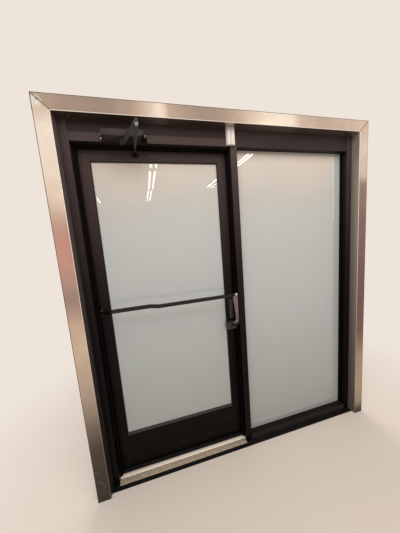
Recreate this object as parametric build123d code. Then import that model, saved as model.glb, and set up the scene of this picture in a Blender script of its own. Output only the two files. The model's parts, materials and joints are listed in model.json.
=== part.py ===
from build123d import *
import os
from math import atan2, degrees, hypot

# Glazed entrance: a narrow-stile glass door and a fixed sidelite in one aluminium frame.
# Millimetres. X runs right across the front, Y runs from front to back, Z is up.
# The origin is at the foot of the frame, midway across it, in the plane of its front face.

# Openings and frame
door_opening_w = 914.4
door_opening_h = 2133.6
sidelite_w = 889.0
sight_line = 44.45
frame_depth = 114.3
frame_wall = 3.2
filler_h = 63.5
filler_setback = 3.0

# Insulated glass and the pocket that holds it
glass_t = 25.4
edge_gap = 3.2
pocket_depth = 15.9
frame_gasket_t = 4.5
gasket_proud = 1.5
gasket_reach = 9.0
block_h = 6.0
block_l = 100.0

# Folded casing round the outside
casing_face = 76.2
casing_return = 60.0
casing_lap = 12.0
casing_hem = 10.0
casing_t = 1.5
casing_bend = 2.0

# Base plate and threshold
base_t = 3.0
base_front = 35.0
threshold_h = 12.0
threshold_nose = 1.5
threshold_front = 10.5
threshold_bevel = 29.5
threshold_top = 27.7
shelf_h = 5.0
threshold_wall = 1.6
tread_groove_w = 1.6
tread_groove_depth = 0.8
tread_grooves = 5
seal_h = 17.0
seal_foot = 4.0

# Door stops and their weather seal
stop_depth = 32.0
stop_proud = 12.7
stop_wall = 1.6
weather_seal_w = 8.0
weather_seal_t = 3.0
running_gap = 0.3

# Door leaf
door_t = 44.45
door_gap = 3.175
floor_gap = 12.7
stile_w = 54.0
top_rail_h = 57.0
bottom_rail_h = 254.0
door_wall = 3.2
bead_w = 15.875
bead_front = 1.6
bead_slope = 2.6
bead_edge = 1.0
bead_wall = 1.4
lip_t = 3.2
door_gasket_t = 3.0
door_gasket_w = 11.0
door_gasket_proud = 1.2
sweep_w = 24.0
sweep_t = 1.5
sweep_fin = 1.2

# Butt hinges
hinge_h = 114.3
hinge_leaf_t = 3.0
hinge_reach = 38.0
hinge_top_drop = 127.0
hinge_bottom_rise = 254.0
barrel_r = 7.0
barrel_clear = 0.5
hinge_pin_r = 3.2
pin_head_h = 3.0
shaft_clear = 0.05
knuckles = 5
backer_t = 4.8
backer_margin = 12.0

# Door closer
closer_l = 222.0
closer_d = 58.0
closer_h = 37.0
closer_rise = 4.4
closer_from_hinge = 167.3
closer_corner = 7.0
ear_w = 13.0
ear_t = 6.0
ear_screw_pitch = 20.0
pinion_inset = 101.0
pinion_out = 24.0
pinion_r = 9.0
pinion_collar_r = 15.0
pinion_collar_h = 4.0
arm_drop = 24.0
arm_t = 6.0
arm_w = 18.0
elbow_w = 15.0
elbow_dx = 91.0
elbow_dy = -216.0
elbow_bolt_r = 7.0
elbow_shaft_r = 4.0
forearm_gap = 3.0
forearm_t = 6.0
forearm_tube_w = 16.0
forearm_tube_wall = 1.8
forearm_tube_l = 165.0
forearm_rod_w = 10.0
forearm_eye_r = 9.0
shoe_dx = 59.0
shoe_out = 17.85
shoe_w = 57.0
shoe_side_h = 13.0
shoe_point = 14.0
shoe_t = 5.0
shoe_tongue_r = 11.0
shoe_tongue_t = 5.0
shoe_stud_r = 4.0
shoe_screw_inset = 8.0

# Push bar across the door
bar_h = 24.0
bar_t = 12.0
bar_corner = 4.0
bar_standoff = 107.85
bar_high = 1186.7
bar_low = 1178.5
bar_turn = 105.75
bar_turn_r = 60.0
bar_dip_start = 317.0
bar_dip_end = 365.0
bar_dip_r = 150.0
bar_overlap = 6.0
bar_pivot_standoff = 17.85
bar_pivot_inset = 21.15
bar_pivot_z = 1160.0
eye_r = 8.0
eye_h = 14.0
neck_l = 15.0
bracket_w = 22.0
bracket_h = 52.0
bracket_t = 5.0
bracket_ear_t = 5.0
bar_pin_r = 4.0

# Latch end of the push bar
latch_z = 931.0
housing_w = 56.0
housing_h = 52.0
housing_d = 30.0
housing_inset = 15.9
housing_round = 5.0
lever_pivot_out = 17.85
lever_pivot_drop = 6.0
lever_pin_r = 4.0
lever_pin_l = 46.0
lever_inset = 26.9
lever_gap = 2.0
lever_t = 8.0
lever_w_top = 32.0
lever_w_low = 20.5
lever_top = 1194.0
lever_taper_high = 1165.0
lever_taper_low = 1060.0
lever_foot_rise = 58.0
lever_bend_r = 24.0
lever_hub_r = 10.0
cap_r = 8.5
cap_dome = 5.0
cap_z = 1187.0
cap_inset = 10.0
escutcheon_w = 32.0
escutcheon_h = 144.0
escutcheon_t = 6.0
escutcheon_z = 1050.0
escutcheon_inset = 29.9
bolt_w = 12.7
bolt_h = 19.0
bolt_l = 42.0
bolt_clear = 0.4
case_w = 28.0
case_h = 130.0
case_d = 46.0
faceplate_h = 160.0
faceplate_t = 2.5
strike_h = 110.0
strike_t = 2.0

# Pull handle on the far side
pull_r = 9.5
pull_out = 58.0
pull_l = 254.0
pull_z = 1060.0
pull_bend = 24.0
rose_r = 17.0
rose_t = 4.0

# Cable raceway on the head
raceway_w = 60.0
raceway_d = 17.0
raceway_top_w = 42.0
raceway_ridge_w = 5.0
raceway_ridge_h = 2.5
raceway_edge = 5.0
raceway_shift = 3.925
raceway_stop = 4.4

# Stations across the width, from left to right
x_outer = -(door_opening_w + sidelite_w + 3 * sight_line) / 2
x_hinge = x_outer + sight_line
x_latch = x_hinge + door_opening_w
x_lite = x_latch + sight_line
x_end = x_lite + sidelite_w
x_leaf = x_hinge + door_gap
x_leaf_end = x_latch - door_gap
x_bay = x_leaf + stile_w
x_bay_end = x_leaf_end - stile_w

# Stations up the height
z_header = door_opening_h
z_filler = z_header + sight_line
z_soffit = z_filler + filler_h
z_leaf = floor_gap
z_leaf_top = z_header - door_gap
z_bay = z_leaf + bottom_rail_h
z_bay_top = z_leaf_top - top_rail_h
z_sill = base_t + sight_line

# The casing's sheet is let into a rebate in the frame's outer edge, level with it
x_reveal = x_outer + casing_t
z_reveal = z_soffit - casing_t

# Stations into the depth
y_glass = (frame_depth - glass_t) / 2
y_leaf = frame_depth - door_t
y_door_glass = y_leaf + (door_t - glass_t) / 2
y_stop = y_leaf - weather_seal_t
y_stop_front = y_stop - stop_depth
pin_x = x_hinge + door_gap / 2
pin_y = frame_depth + barrel_clear + barrel_r

BOX_MIN = (Align.MIN, Align.MIN, Align.MIN)


def block(x, y, z, x_to, y_to, z_to):
    """A box between two opposite corners."""
    return Pos(x, y, z) * Box(x_to - x, y_to - y, z_to - z, align=BOX_MIN)


def upright(section, z, z_to):
    """A section drawn in plan, run from one height to another."""
    return Pos(0, 0, z) * extrude(section, z_to - z, dir=(0, 0, 1))


def across(section, x, x_to):
    """A section drawn with x into the depth and y up, run from left to right."""
    return extrude(Plane.YZ.offset(x) * section, x_to - x)


def facing(section, y, y_to):
    """A section drawn with x to the right and y up, run from front to back."""
    return Pos(0, y, 0) * extrude(Plane.XZ * section, y_to - y, dir=(0, 1, 0))


def post(x, y, z, z_to, radius):
    """A round bar standing on a height."""
    return Pos(x, y, z) * Cylinder(radius, z_to - z, align=(Align.CENTER, Align.CENTER, Align.MIN))


def plan_box(x, y, x_to, y_to):
    """A rectangle between two opposite corners of a sketch."""
    return Pos(x, y) * Rectangle(x_to - x, y_to - y, align=(Align.MIN, Align.MIN))


def hollow(section, wall):
    """The same outline as a thin-walled tube."""
    return section - offset(section, -wall, kind=Kind.INTERSECTION)


def member_section(pocket=False):
    """Frame tube: x over the sight line, y over the depth, with the glass pocket on its far x side."""
    outline = plan_box(0, 0, sight_line, frame_depth)
    if pocket:
        front = y_glass - frame_gasket_t
        back = y_glass + glass_t + frame_gasket_t
        outline -= plan_box(sight_line - pocket_depth, front, sight_line, back)
    return hollow(outline, frame_wall)


def turned_up(section):
    """A member section turned to lie across, its sight line standing up and its pocket on top."""
    return Rot(0, 0, 90) * mirror(section, about=Plane.XZ)


def hinge_heights():
    """Centre heights of the three hinges, evenly spaced between the end ones."""
    low = z_leaf + hinge_bottom_rise + hinge_h / 2
    high = z_leaf_top - hinge_top_drop - hinge_h / 2
    return [low, (low + high) / 2, high]


def casing_section():
    """Folded sheet: x from the outer edge to the opening, y from the face back onto the frame."""
    depth = casing_return + casing_lap
    outline = plan_box(0, 0, casing_face, depth)
    outline = fillet(outline.vertices().sort_by(Axis.Y)[:2], casing_bend)
    sheet = hollow(outline, casing_t)
    return sheet - plan_box(0, casing_hem, casing_face - casing_t, depth)


def casings():
    """Two uprights and a head, mitred together at the top corners."""
    half = -x_reveal + casing_face
    top = z_reveal + casing_face
    section = casing_section()
    left_mitre = Plane(origin=(-half, 0, top), z_dir=(1, 0, 1))
    right_mitre = Plane(origin=(half, 0, top), z_dir=(-1, 0, 1))
    left = upright(Pos(-half, -casing_return) * section, 0, top)
    left = split(left, bisect_by=left_mitre, keep=Keep.BOTTOM)
    start = Plane(origin=(-half, -casing_return, top), x_dir=(0, 0, -1), z_dir=(1, 0, 0))
    head = extrude(start * section, 2 * half)
    head = split(head, bisect_by=left_mitre, keep=Keep.TOP)
    head = split(head, bisect_by=right_mitre, keep=Keep.TOP)
    return {"casing_left": left, "casing_head": head, "casing_right": mirror(left, about=Plane.YZ)}


def casing_rebate():
    """Cutter for the step round the frame's outer edge that takes the casing's sheet."""
    side = block(x_outer, 0, 0, x_reveal, casing_lap, z_soffit)
    return side + mirror(side, about=Plane.YZ) + block(x_outer, 0, z_reveal, -x_outer, casing_lap, z_soffit)


def hinge_recess(x, x_to):
    """Cutters for the hinge leaves, from the far face of the member inwards."""
    front = frame_depth - hinge_reach
    half = hinge_h / 2
    return [block(x, front, z - half, x_to, frame_depth, z + half) for z in hinge_heights()]


def backer(x, x_to, y, y_to, z, height):
    """A plate riveted inside a tube behind a recess."""
    half = height / 2 + backer_margin
    return block(x, y, z - half, x_to, y_to, z + half)


def frame_uprights():
    """Jambs and mullion, with their hinge and strike recesses."""
    plain = member_section()
    pocketed = member_section(pocket=True)
    hinge_jamb = upright(Pos(x_outer) * plain, base_t, z_soffit)
    inner = x_hinge - frame_wall
    for z in hinge_heights():
        hinge_jamb += backer(inner - backer_t, inner, frame_depth - hinge_reach, frame_depth - frame_wall,
                             z, hinge_h)
    for cutter in hinge_recess(x_hinge - hinge_leaf_t, x_hinge):
        hinge_jamb -= cutter
    mullion = upright(Pos(x_latch) * pocketed, base_t, z_filler)
    inner = x_latch + frame_wall
    mullion += backer(inner, inner + backer_t, y_bolt - case_w / 2, y_bolt + case_w / 2, latch_z, strike_h)
    mullion -= strike_outline(x_latch, x_latch + strike_t)
    mullion -= bolt_hole(x_latch, inner + backer_t)
    end_jamb = upright(Pos(x_end + sight_line) * mirror(pocketed, about=Plane.YZ), base_t, z_soffit)
    rebate = casing_rebate()
    return {"hinge_jamb": hinge_jamb - rebate, "mullion": mullion, "end_jamb": end_jamb - rebate}


def frame_rails():
    """Headers, sill and the filler panel above them."""
    plain = turned_up(member_section())
    pocket_up = turned_up(member_section(pocket=True))
    pocket_down = mirror(pocket_up, about=Plane.XZ)
    filler = plan_box(filler_setback, 0, frame_depth, filler_h)
    return {
        "door_header": across(Pos(0, z_header) * plain, x_hinge, x_latch),
        "sidelite_header": across(Pos(0, z_filler) * pocket_down, x_lite, x_end),
        "sidelite_sill": across(Pos(0, base_t) * pocket_up, x_lite, x_end),
        "head_filler": across(Pos(0, z_filler) * hollow(filler, frame_wall), x_hinge, x_end) - casing_rebate(),
    }


def threshold_section():
    """Bevelled saddle with a grooved tread, and a low shelf under the door."""
    tread = -threshold_front + threshold_bevel
    tread_end = tread + threshold_top
    outline = Polyline(
        (-threshold_front, 0), (-threshold_front, threshold_nose), (tread, threshold_h),
        (tread_end, threshold_h), (tread_end, shelf_h), (frame_depth, shelf_h), (frame_depth, 0),
        close=True,
    )
    section = make_face(outline)
    pitch = threshold_top / (tread_grooves + 1)
    for index in range(tread_grooves):
        middle = tread + pitch * (index + 1)
        section -= Pos(middle, threshold_h) * Rectangle(tread_groove_w, 2 * tread_groove_depth)
    channel_top = threshold_h - 2 * tread_groove_depth - threshold_wall
    rib = (threshold_top - threshold_wall) / 2
    for start in (tread, tread + rib + threshold_wall / 2):
        section -= plan_box(start, 0, start + rib - threshold_wall, channel_top)
    return section


def floor_pieces():
    """Base plate, threshold and the bumper seal that the door's face meets."""
    tread_end = -threshold_front + threshold_bevel + threshold_top
    threshold = across(Pos(0, base_t) * threshold_section(), x_hinge, x_latch)
    notch_top = base_t + threshold_h
    for x, x_to in ((x_hinge, x_hinge + stop_proud), (x_latch - stop_proud, x_latch)):
        threshold -= block(x, y_stop_front, base_t, x_to, y_stop, notch_top)
    front = tread_end
    back = y_leaf - running_gap
    seal_z = base_t + shelf_h
    top = base_t + seal_h
    seal = Polyline((front, seal_z), (front, base_t + threshold_h), (back - seal_foot, top), (back, top),
                    (back, seal_z), close=True)
    return {
        "base_plate": block(x_reveal, -base_front, 0, -x_reveal, frame_depth, base_t),
        "threshold": threshold,
        "threshold_seal": across(make_face(seal), x_hinge + stop_proud, x_latch - stop_proud),
    }


def stops():
    """Hollow stops screwed round the door opening, and the soft seal on their far face."""
    side = plan_box(0, y_stop_front, stop_proud, y_stop)
    head = plan_box(y_stop_front, z_header - stop_proud, y_stop, z_header)
    hinge_side = upright(Pos(x_hinge) * hollow(side, stop_wall), base_t, z_header)
    latch_side = upright(Pos(x_latch - stop_proud) * hollow(side, stop_wall), base_t, z_header)
    inset = (stop_proud - weather_seal_w) / 2
    seal_top = z_header - inset
    seal_end = seal_top - weather_seal_w
    back = y_leaf - running_gap
    seal_z = base_t + seal_h
    left = x_hinge + inset
    right = x_latch - inset
    seal = block(left, y_stop, seal_z, left + weather_seal_w, back, seal_top)
    seal += block(right - weather_seal_w, y_stop, seal_z, right, back, seal_top)
    seal += block(left, y_stop, seal_end, right, back, seal_top)
    return {
        "hinge_side_stop": hinge_side,
        "latch_side_stop": latch_side,
        "head_stop": across(hollow(head, stop_wall), x_hinge + stop_proud, x_latch - stop_proud),
        "weather_seal": seal,
    }


def ring(x, z, x_to, z_to, grow, shrink, y, y_to):
    """A rectangular gasket round an opening: grow is outside its edge, shrink is inside."""
    outer = plan_box(x - grow, z - grow, x_to + grow, z_to + grow)
    inner = plan_box(x + shrink, z + shrink, x_to - shrink, z_to - shrink)
    return facing(outer - inner, y, y_to)


def sidelite():
    """Fixed glass unit on two setting blocks, held between two gaskets."""
    bite = pocket_depth - edge_gap
    z_glass = z_sill - pocket_depth + block_h
    y_back = y_glass + glass_t
    blocks = []
    for share in (1 / 4, 3 / 4):
        middle = x_lite + sidelite_w * share
        blocks.append(block(middle - block_l / 2, y_glass, z_sill - pocket_depth,
                            middle + block_l / 2, y_back, z_glass))
    opening = (x_lite, z_sill, x_end, z_header)
    return {
        "sidelite_glass": block(x_lite - bite, y_glass, z_glass, x_end + bite, y_back, z_header + bite),
        "sidelite_setting_blocks": Compound(blocks),
        "sidelite_front_gasket": ring(*opening, gasket_reach, gasket_proud,
                                      y_glass - frame_gasket_t, y_glass),
        "sidelite_back_gasket": ring(*opening, gasket_reach, gasket_proud,
                                     y_back, y_back + frame_gasket_t),
    }


def stile_tube():
    """Stile in plan, x from the leaf's edge to the glass, y from the leaf's front face."""
    return Pos(0, y_leaf) * hollow(plan_box(0, 0, stile_w, door_t), door_wall)


def stile_lip():
    """The fixed glazing lip at the stile's far side."""
    front = y_door_glass + glass_t + door_gasket_t
    return plan_box(stile_w - door_wall, front, stile_w + bead_w, front + lip_t)


def stiles():
    """Both stiles; the hinge stile is recessed for its leaves, the latch stile for the latch."""
    plain = upright(stile_tube(), z_leaf, z_leaf_top) + upright(stile_lip(), z_bay, z_bay_top)
    hinge_stile = Pos(x_leaf) * plain
    inner = x_leaf + door_wall
    for z in hinge_heights():
        hinge_stile += backer(inner, inner + backer_t, frame_depth - hinge_reach, frame_depth - door_wall,
                              z, hinge_h)
    for cutter in hinge_recess(x_leaf, x_leaf + hinge_leaf_t):
        hinge_stile -= cutter
    latch_stile = Pos(x_leaf_end) * mirror(plain, about=Plane.YZ)
    inner = x_leaf_end - door_wall
    half_case = case_w / 2
    latch_stile += backer(inner - backer_t, inner, y_bolt - half_case, y_bolt + half_case,
                          latch_z, faceplate_h)
    latch_stile -= block(x_leaf_end - faceplate_t, y_bolt - half_case, latch_z - faceplate_h / 2,
                         x_leaf_end, y_bolt + half_case, latch_z + faceplate_h / 2)
    latch_stile -= block(inner - backer_t, y_bolt - half_case, latch_z - case_h / 2,
                         x_leaf_end, y_bolt + half_case, latch_z + case_h / 2)
    return {"hinge_stile": hinge_stile, "latch_stile": latch_stile}


def door_rails():
    """Top and bottom rails between the stiles, each with a lip behind the glass."""
    lip_front = y_door_glass + glass_t + door_gasket_t
    lip_back = lip_front + lip_t
    lip_start = x_bay + bead_w
    lip_end = x_bay_end - bead_w
    top = across(hollow(plan_box(y_leaf, z_bay_top, frame_depth, z_leaf_top), door_wall), x_bay, x_bay_end)
    top += block(lip_start, lip_front, z_bay_top - bead_w, lip_end, lip_back, z_bay_top + door_wall)
    bottom = across(hollow(plan_box(y_leaf, z_leaf, frame_depth, z_bay), door_wall), x_bay, x_bay_end)
    bottom += block(lip_start, lip_front, z_bay - door_wall, lip_end, lip_back, z_bay + bead_w)
    return {"top_rail": top, "bottom_rail": bottom}


def bead_section():
    """Snap-in bead: x from the stile towards the glass, y from the leaf's front face, sloping back."""
    back = y_door_glass - door_gasket_t - y_leaf
    outline = Polyline((0, bead_front), (bead_w - bead_front, bead_front + bead_slope),
                       (bead_w, bead_front + bead_slope + bead_edge), (bead_w, back), (0, back), close=True)
    return Pos(0, y_leaf) * hollow(make_face(outline), bead_wall)


def beads():
    """Four beads on the front: the side ones run full height and the others fit between them."""
    section = bead_section()
    side = upright(section, z_bay, z_bay_top)
    level = turned_up(section)
    start = x_bay + bead_w
    end = x_bay_end - bead_w
    return {
        "bead_hinge_side": Pos(x_bay) * side,
        "bead_latch_side": Pos(x_bay_end) * mirror(side, about=Plane.YZ),
        "bead_bottom": across(Pos(0, z_bay) * level, start, end),
        "bead_top": across(Pos(0, z_bay_top) * mirror(level, about=Plane.XZ), start, end),
    }


def door_glazing():
    """The leaf's glass unit on setting blocks, between a front and a back gasket."""
    y_back = y_door_glass + glass_t
    z_glass = z_bay + edge_gap
    blocks = []
    for share in (1 / 4, 3 / 4):
        middle = x_bay + (x_bay_end - x_bay) * share
        blocks.append(block(middle - block_l / 2, y_door_glass, z_bay, middle + block_l / 2, y_back, z_glass))
    daylight = (x_bay + bead_w, z_bay + bead_w, x_bay_end - bead_w, z_bay_top - bead_w)
    grow = door_gasket_w - door_gasket_proud
    return {
        "door_glass": block(x_bay + edge_gap, y_door_glass, z_glass,
                            x_bay_end - edge_gap, y_back, z_bay_top - edge_gap),
        "door_setting_blocks": Compound(blocks),
        "door_front_gasket": ring(*daylight, grow, door_gasket_proud,
                                  y_door_glass - door_gasket_t, y_door_glass),
        "door_back_gasket": ring(*daylight, grow, door_gasket_proud, y_back, y_back + door_gasket_t),
    }


def bottom_sweep():
    """Rubber sweep under the leaf, two fins hanging close over the threshold's shelf."""
    middle = frame_depth - door_t / 2
    fin_end = base_t + shelf_h + running_gap
    sweep = block(x_leaf, middle - sweep_w / 2, z_leaf - sweep_t, x_leaf_end, middle + sweep_w / 2, z_leaf)
    for y in (middle - sweep_w / 2, middle + sweep_w / 2 - sweep_fin):
        sweep += block(x_leaf, y, fin_end, x_leaf_end, y + sweep_fin, z_leaf - sweep_t)
    return {"bottom_sweep": sweep}


def hinge_leaf(x, x_to, own_knuckles):
    """One leaf with its knuckles, cut clear of the other leaf's knuckles."""
    step = hinge_h / knuckles
    half = hinge_h / 2
    leaf = block(x, frame_depth - hinge_reach, -half, x_to, pin_y, half)
    for index in range(knuckles):
        low = -half + step * index
        if index in own_knuckles:
            leaf += post(pin_x, pin_y, low, low + step, barrel_r)
        else:
            leaf -= post(pin_x, pin_y, low - running_gap, low + step + running_gap, barrel_r + running_gap)
    return leaf - post(pin_x, pin_y, -half, half, hinge_pin_r + shaft_clear)


def hinges():
    """Three butt hinges: leaves on frame and door, and the pins dropped through them."""
    frame_knuckles = range(0, knuckles, 2)
    door_knuckles = range(1, knuckles, 2)
    frame_leaf = hinge_leaf(x_hinge - hinge_leaf_t, x_hinge, frame_knuckles)
    door_leaf = hinge_leaf(x_leaf, x_leaf + hinge_leaf_t, door_knuckles)
    half = hinge_h / 2
    pin = post(pin_x, pin_y, -half, half, hinge_pin_r)
    pin += post(pin_x, pin_y, half, half + pin_head_h, barrel_r)
    return {
        "hinge_frame_leaves": Compound([Pos(0, 0, z) * frame_leaf for z in hinge_heights()]),
        "hinge_door_leaves": Compound([Pos(0, 0, z) * door_leaf for z in hinge_heights()]),
        "hinge_pins": Compound([Pos(0, 0, z) * pin for z in hinge_heights()]),
    }


# Closer stations: pinion, elbow and shoe pivot in plan
closer_x = x_hinge + closer_from_hinge
closer_z = z_header + closer_rise
pinion = (closer_x + pinion_inset, -pinion_out)
elbow = (pinion[0] + elbow_dx, pinion[1] + elbow_dy)
shoe_pivot = (pinion[0] + shoe_dx, y_leaf - shoe_out)
arm_top = closer_z - arm_drop
arm_low = arm_top - arm_t
forearm_top = arm_low - forearm_gap
forearm_low = forearm_top - forearm_t


def screw_head(radius, height):
    """Domed head standing on the plane it is screwed to, its face towards the front."""
    head = Cylinder(radius, height, align=(Align.CENTER, Align.CENTER, Align.MIN))
    return Rot(90, 0, 0) * fillet(head.edges().sort_by(Axis.Z)[-1], height * 2 / 3)


def closer_housing():
    """Closer body with an ear at each end, bored for the pinion."""
    body = block(closer_x, -closer_d, closer_z, closer_x + closer_l, 0, closer_z + closer_h)
    front = body.faces().sort_by(Axis.Y)[0]
    body = fillet(front.edges(), closer_corner)
    ears = block(closer_x - ear_w, -ear_t, closer_z, closer_x + closer_l + ear_w, 0, closer_z + closer_h)
    body += ears
    body += post(*pinion, closer_z - pinion_collar_h, closer_z, pinion_collar_r)
    top = closer_z + closer_h
    body -= post(*pinion, closer_z - pinion_collar_h, top, pinion_r + shaft_clear)
    head = screw_head(ear_w / 3, ear_t / 2)
    screws = []
    for x in (closer_x - ear_w / 2, closer_x + closer_l + ear_w / 2):
        for side in (-1, 1):
            z = closer_z + closer_h / 2 + side * ear_screw_pitch / 2
            screws.append(Pos(x, -ear_t, z) * head)
    return {"closer_body": body, "closer_screws": Compound(screws)}


def bar_between(start, end, low, high, width, width_end):
    """A flat tapered bar in plan with round ends, between two heights."""
    length = hypot(end[0] - start[0], end[1] - start[1])
    turn = degrees(atan2(end[1] - start[1], end[0] - start[0]))
    taper = make_face(Polyline((0, -width / 2), (0, width / 2), (length, width_end / 2),
                               (length, -width_end / 2), close=True))
    outline = taper + Circle(width / 2) + Pos(length, 0) * Circle(width_end / 2)
    return Pos(start[0], start[1], low) * Rot(0, 0, turn) * extrude(outline, high - low)


def closer_arms():
    """Pinion and main arm, then the forearm: a rod sliding in a flat tube, and its elbow bolt."""
    main = bar_between(pinion, elbow, arm_low, arm_top, arm_w, elbow_w)
    main += post(*pinion, arm_top, closer_z - pinion_collar_h - running_gap, pinion_r + arm_t / 2)
    main -= post(*elbow, arm_low, arm_top, elbow_shaft_r)
    main -= post(*pinion, arm_low, closer_z, pinion_r)
    shaft = post(*pinion, arm_low, closer_z + closer_h + arm_t / 2, pinion_r)
    bolt = post(*elbow, arm_top, arm_top + arm_t, elbow_bolt_r)
    bolt = fillet(bolt.edges().sort_by(Axis.Z)[-1], arm_t / 3)
    bolt += post(*elbow, forearm_low, arm_top, elbow_shaft_r)
    length = hypot(shoe_pivot[0] - elbow[0], shoe_pivot[1] - elbow[1])
    split_share = forearm_tube_l / length
    tube_end = (elbow[0] + (shoe_pivot[0] - elbow[0]) * split_share,
                elbow[1] + (shoe_pivot[1] - elbow[1]) * split_share)
    turn = degrees(atan2(shoe_pivot[1] - elbow[1], shoe_pivot[0] - elbow[0]))
    tube = bar_between(elbow, tube_end, forearm_low, forearm_top, forearm_tube_w, forearm_tube_w)
    tube -= post(*elbow, forearm_low, forearm_top, elbow_shaft_r + shaft_clear)
    eye = post(*shoe_pivot, forearm_low, forearm_top, forearm_eye_r)
    rod_t = forearm_t - 2 * forearm_tube_wall
    rod_inside = forearm_tube_l / 3
    rod = block(forearm_tube_l - rod_inside, -forearm_rod_w / 2, forearm_low + forearm_tube_wall,
                length, forearm_rod_w / 2, forearm_low + forearm_tube_wall + rod_t)
    rod = Pos(*elbow) * Rot(0, 0, turn) * rod
    rod += eye
    rod += post(*shoe_pivot, forearm_top, forearm_top + forearm_gap, shoe_stud_r + forearm_gap / 2)
    return {
        "closer_pinion": shaft,
        "closer_main_arm": main,
        "elbow_bolt": bolt,
        "forearm_tube": tube - rod,
        "forearm_rod": rod,
    }


def closer_shoe():
    """Shoe on the top rail: a plate pointed at the bottom with a tongue under the forearm's eye."""
    x, y = shoe_pivot
    top = forearm_top + forearm_gap
    half = shoe_w / 2
    side_z = top - shoe_side_h
    outline = Polyline((x - half, top), (x + half, top), (x + half, side_z), (x, side_z - shoe_point),
                       (x - half, side_z), close=True)
    plate = facing(make_face(outline), y_leaf - shoe_t, y_leaf)
    tongue_top = forearm_low - running_gap
    tongue = block(x - shoe_tongue_r, y, tongue_top - shoe_tongue_t, x + shoe_tongue_r, y_leaf - shoe_t,
                   tongue_top)
    tongue += post(x, y, tongue_top - shoe_tongue_t, tongue_top, shoe_tongue_r)
    head = screw_head(shoe_screw_inset / 2, shoe_t / 2)
    screws = [Pos(x + side * (half - shoe_screw_inset), y_leaf - shoe_t, (top + side_z) / 2) * head
              for side in (-1, 1)]
    return {"closer_shoe": plate + tongue, "shoe_screws": Compound(screws)}


# Push bar stations: its pivot on the hinge stile, its run and the lever in front of its end
bar_y = y_leaf - bar_standoff
bar_pivot = (x_leaf + bar_pivot_inset, y_leaf - bar_pivot_standoff)
lever_right = x_leaf_end - lever_inset
lever_front = bar_y - bar_t / 2 - lever_gap - lever_t
lever_pivot = (y_leaf - lever_pivot_out, latch_z - lever_pivot_drop)
y_bolt = y_leaf + door_t / 2


def push_bar():
    """Flat bar with a small dip in its run, bent back at the left and tapered to its pivot eye."""
    turn = Vector(x_leaf + bar_turn, bar_y, bar_high)
    away = Vector(turn.X - bar_pivot[0], turn.Y - bar_pivot[1], 0).normalized() * neck_l
    start = Vector(*bar_pivot, bar_pivot_z) + away
    end = Vector(lever_right - bar_overlap, bar_y, bar_low)
    route = FilletPolyline(
        end,
        (x_leaf + bar_dip_end, bar_y, bar_low),
        (x_leaf + bar_dip_start, bar_y, bar_high),
        turn,
        start,
        radius=[bar_dip_r, bar_dip_r, bar_turn_r],
    )
    plane = Plane(origin=end, x_dir=(0, 0, 1), z_dir=route % 0)
    bar = sweep(plane * RectangleRounded(bar_h, bar_t, bar_corner), path=route)
    low = bar_pivot_z - eye_h / 2
    high = bar_pivot_z + eye_h / 2
    for eye_side, side in ((low, -1), (high, 1)):
        beyond = eye_side + side * 2 * bar_h
        edge = bar_high + side * (bar_h / 2 + bar_t / 6)
        waste = Polyline((bar_pivot[0], eye_side), (start.X, eye_side), (turn.X, edge), (turn.X, beyond),
                         (bar_pivot[0], beyond), close=True)
        bar -= facing(make_face(waste), bar_y - bar_h, bar_pivot[1])
    bar += bar_between(bar_pivot, (start.X, start.Y), low, high, 2 * eye_r, bar_t - bar_corner)
    bar -= post(*bar_pivot, low, high, bar_pin_r + shaft_clear)
    return {"push_bar": bar}


def bar_bracket():
    """Bracket on the hinge stile with two ears, and the pin that the bar's eye turns on."""
    x, y = bar_pivot
    low = bar_pivot_z - eye_h / 2 - running_gap
    high = bar_pivot_z + eye_h / 2 + running_gap
    half = bracket_w / 2
    bracket = block(x - half, y_leaf - bracket_t, bar_pivot_z - bracket_h / 2,
                    x + half, y_leaf, bar_pivot_z + bracket_h / 2)
    bracket = fillet(bracket.edges().filter_by(Axis.Y), bracket_t)
    for z, z_to in ((low - bracket_ear_t, low), (high, high + bracket_ear_t)):
        bracket += post(x, y, z, z_to, eye_r)
        bracket += block(x - eye_r, y, z, x + eye_r, y_leaf - bracket_t, z_to)
    bottom = low - bracket_ear_t
    top = high + bracket_ear_t
    bracket -= post(x, y, bottom, top, bar_pin_r)
    pin = post(x, y, bottom, top, bar_pin_r)
    pin += post(x, y, top, top + bar_pin_r / 2, bar_pin_r * 3 / 2)
    return {"bar_bracket": bracket, "bar_pivot_pin": pin}


def latch_housing():
    """Case on the latch stile, slotted for the lever's foot, with the pin it turns on."""
    right = x_leaf_end - housing_inset
    front = y_leaf - housing_d
    low = latch_z - housing_h / 2
    high = latch_z + housing_h / 2
    housing = block(right - housing_w, front, low, right, y_leaf, high)
    housing = fillet(housing.faces().sort_by(Axis.Y)[0].edges(), housing_round)
    pivot_y, pivot_z = lever_pivot
    room = lever_hub_r + 3 * running_gap
    side = 2 * running_gap
    housing -= block(lever_right - lever_w_low - side, front, pivot_z - room,
                     lever_right + side, pivot_y + room, pivot_z + room + lever_pivot_drop)
    pin = Pos(right, pivot_y, pivot_z) * Rot(0, -90, 0) * Cylinder(
        lever_pin_r, lever_pin_l, align=(Align.CENTER, Align.CENTER, Align.MIN))
    return {"latch_housing": housing - pin, "lever_pin": pin}


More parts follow.
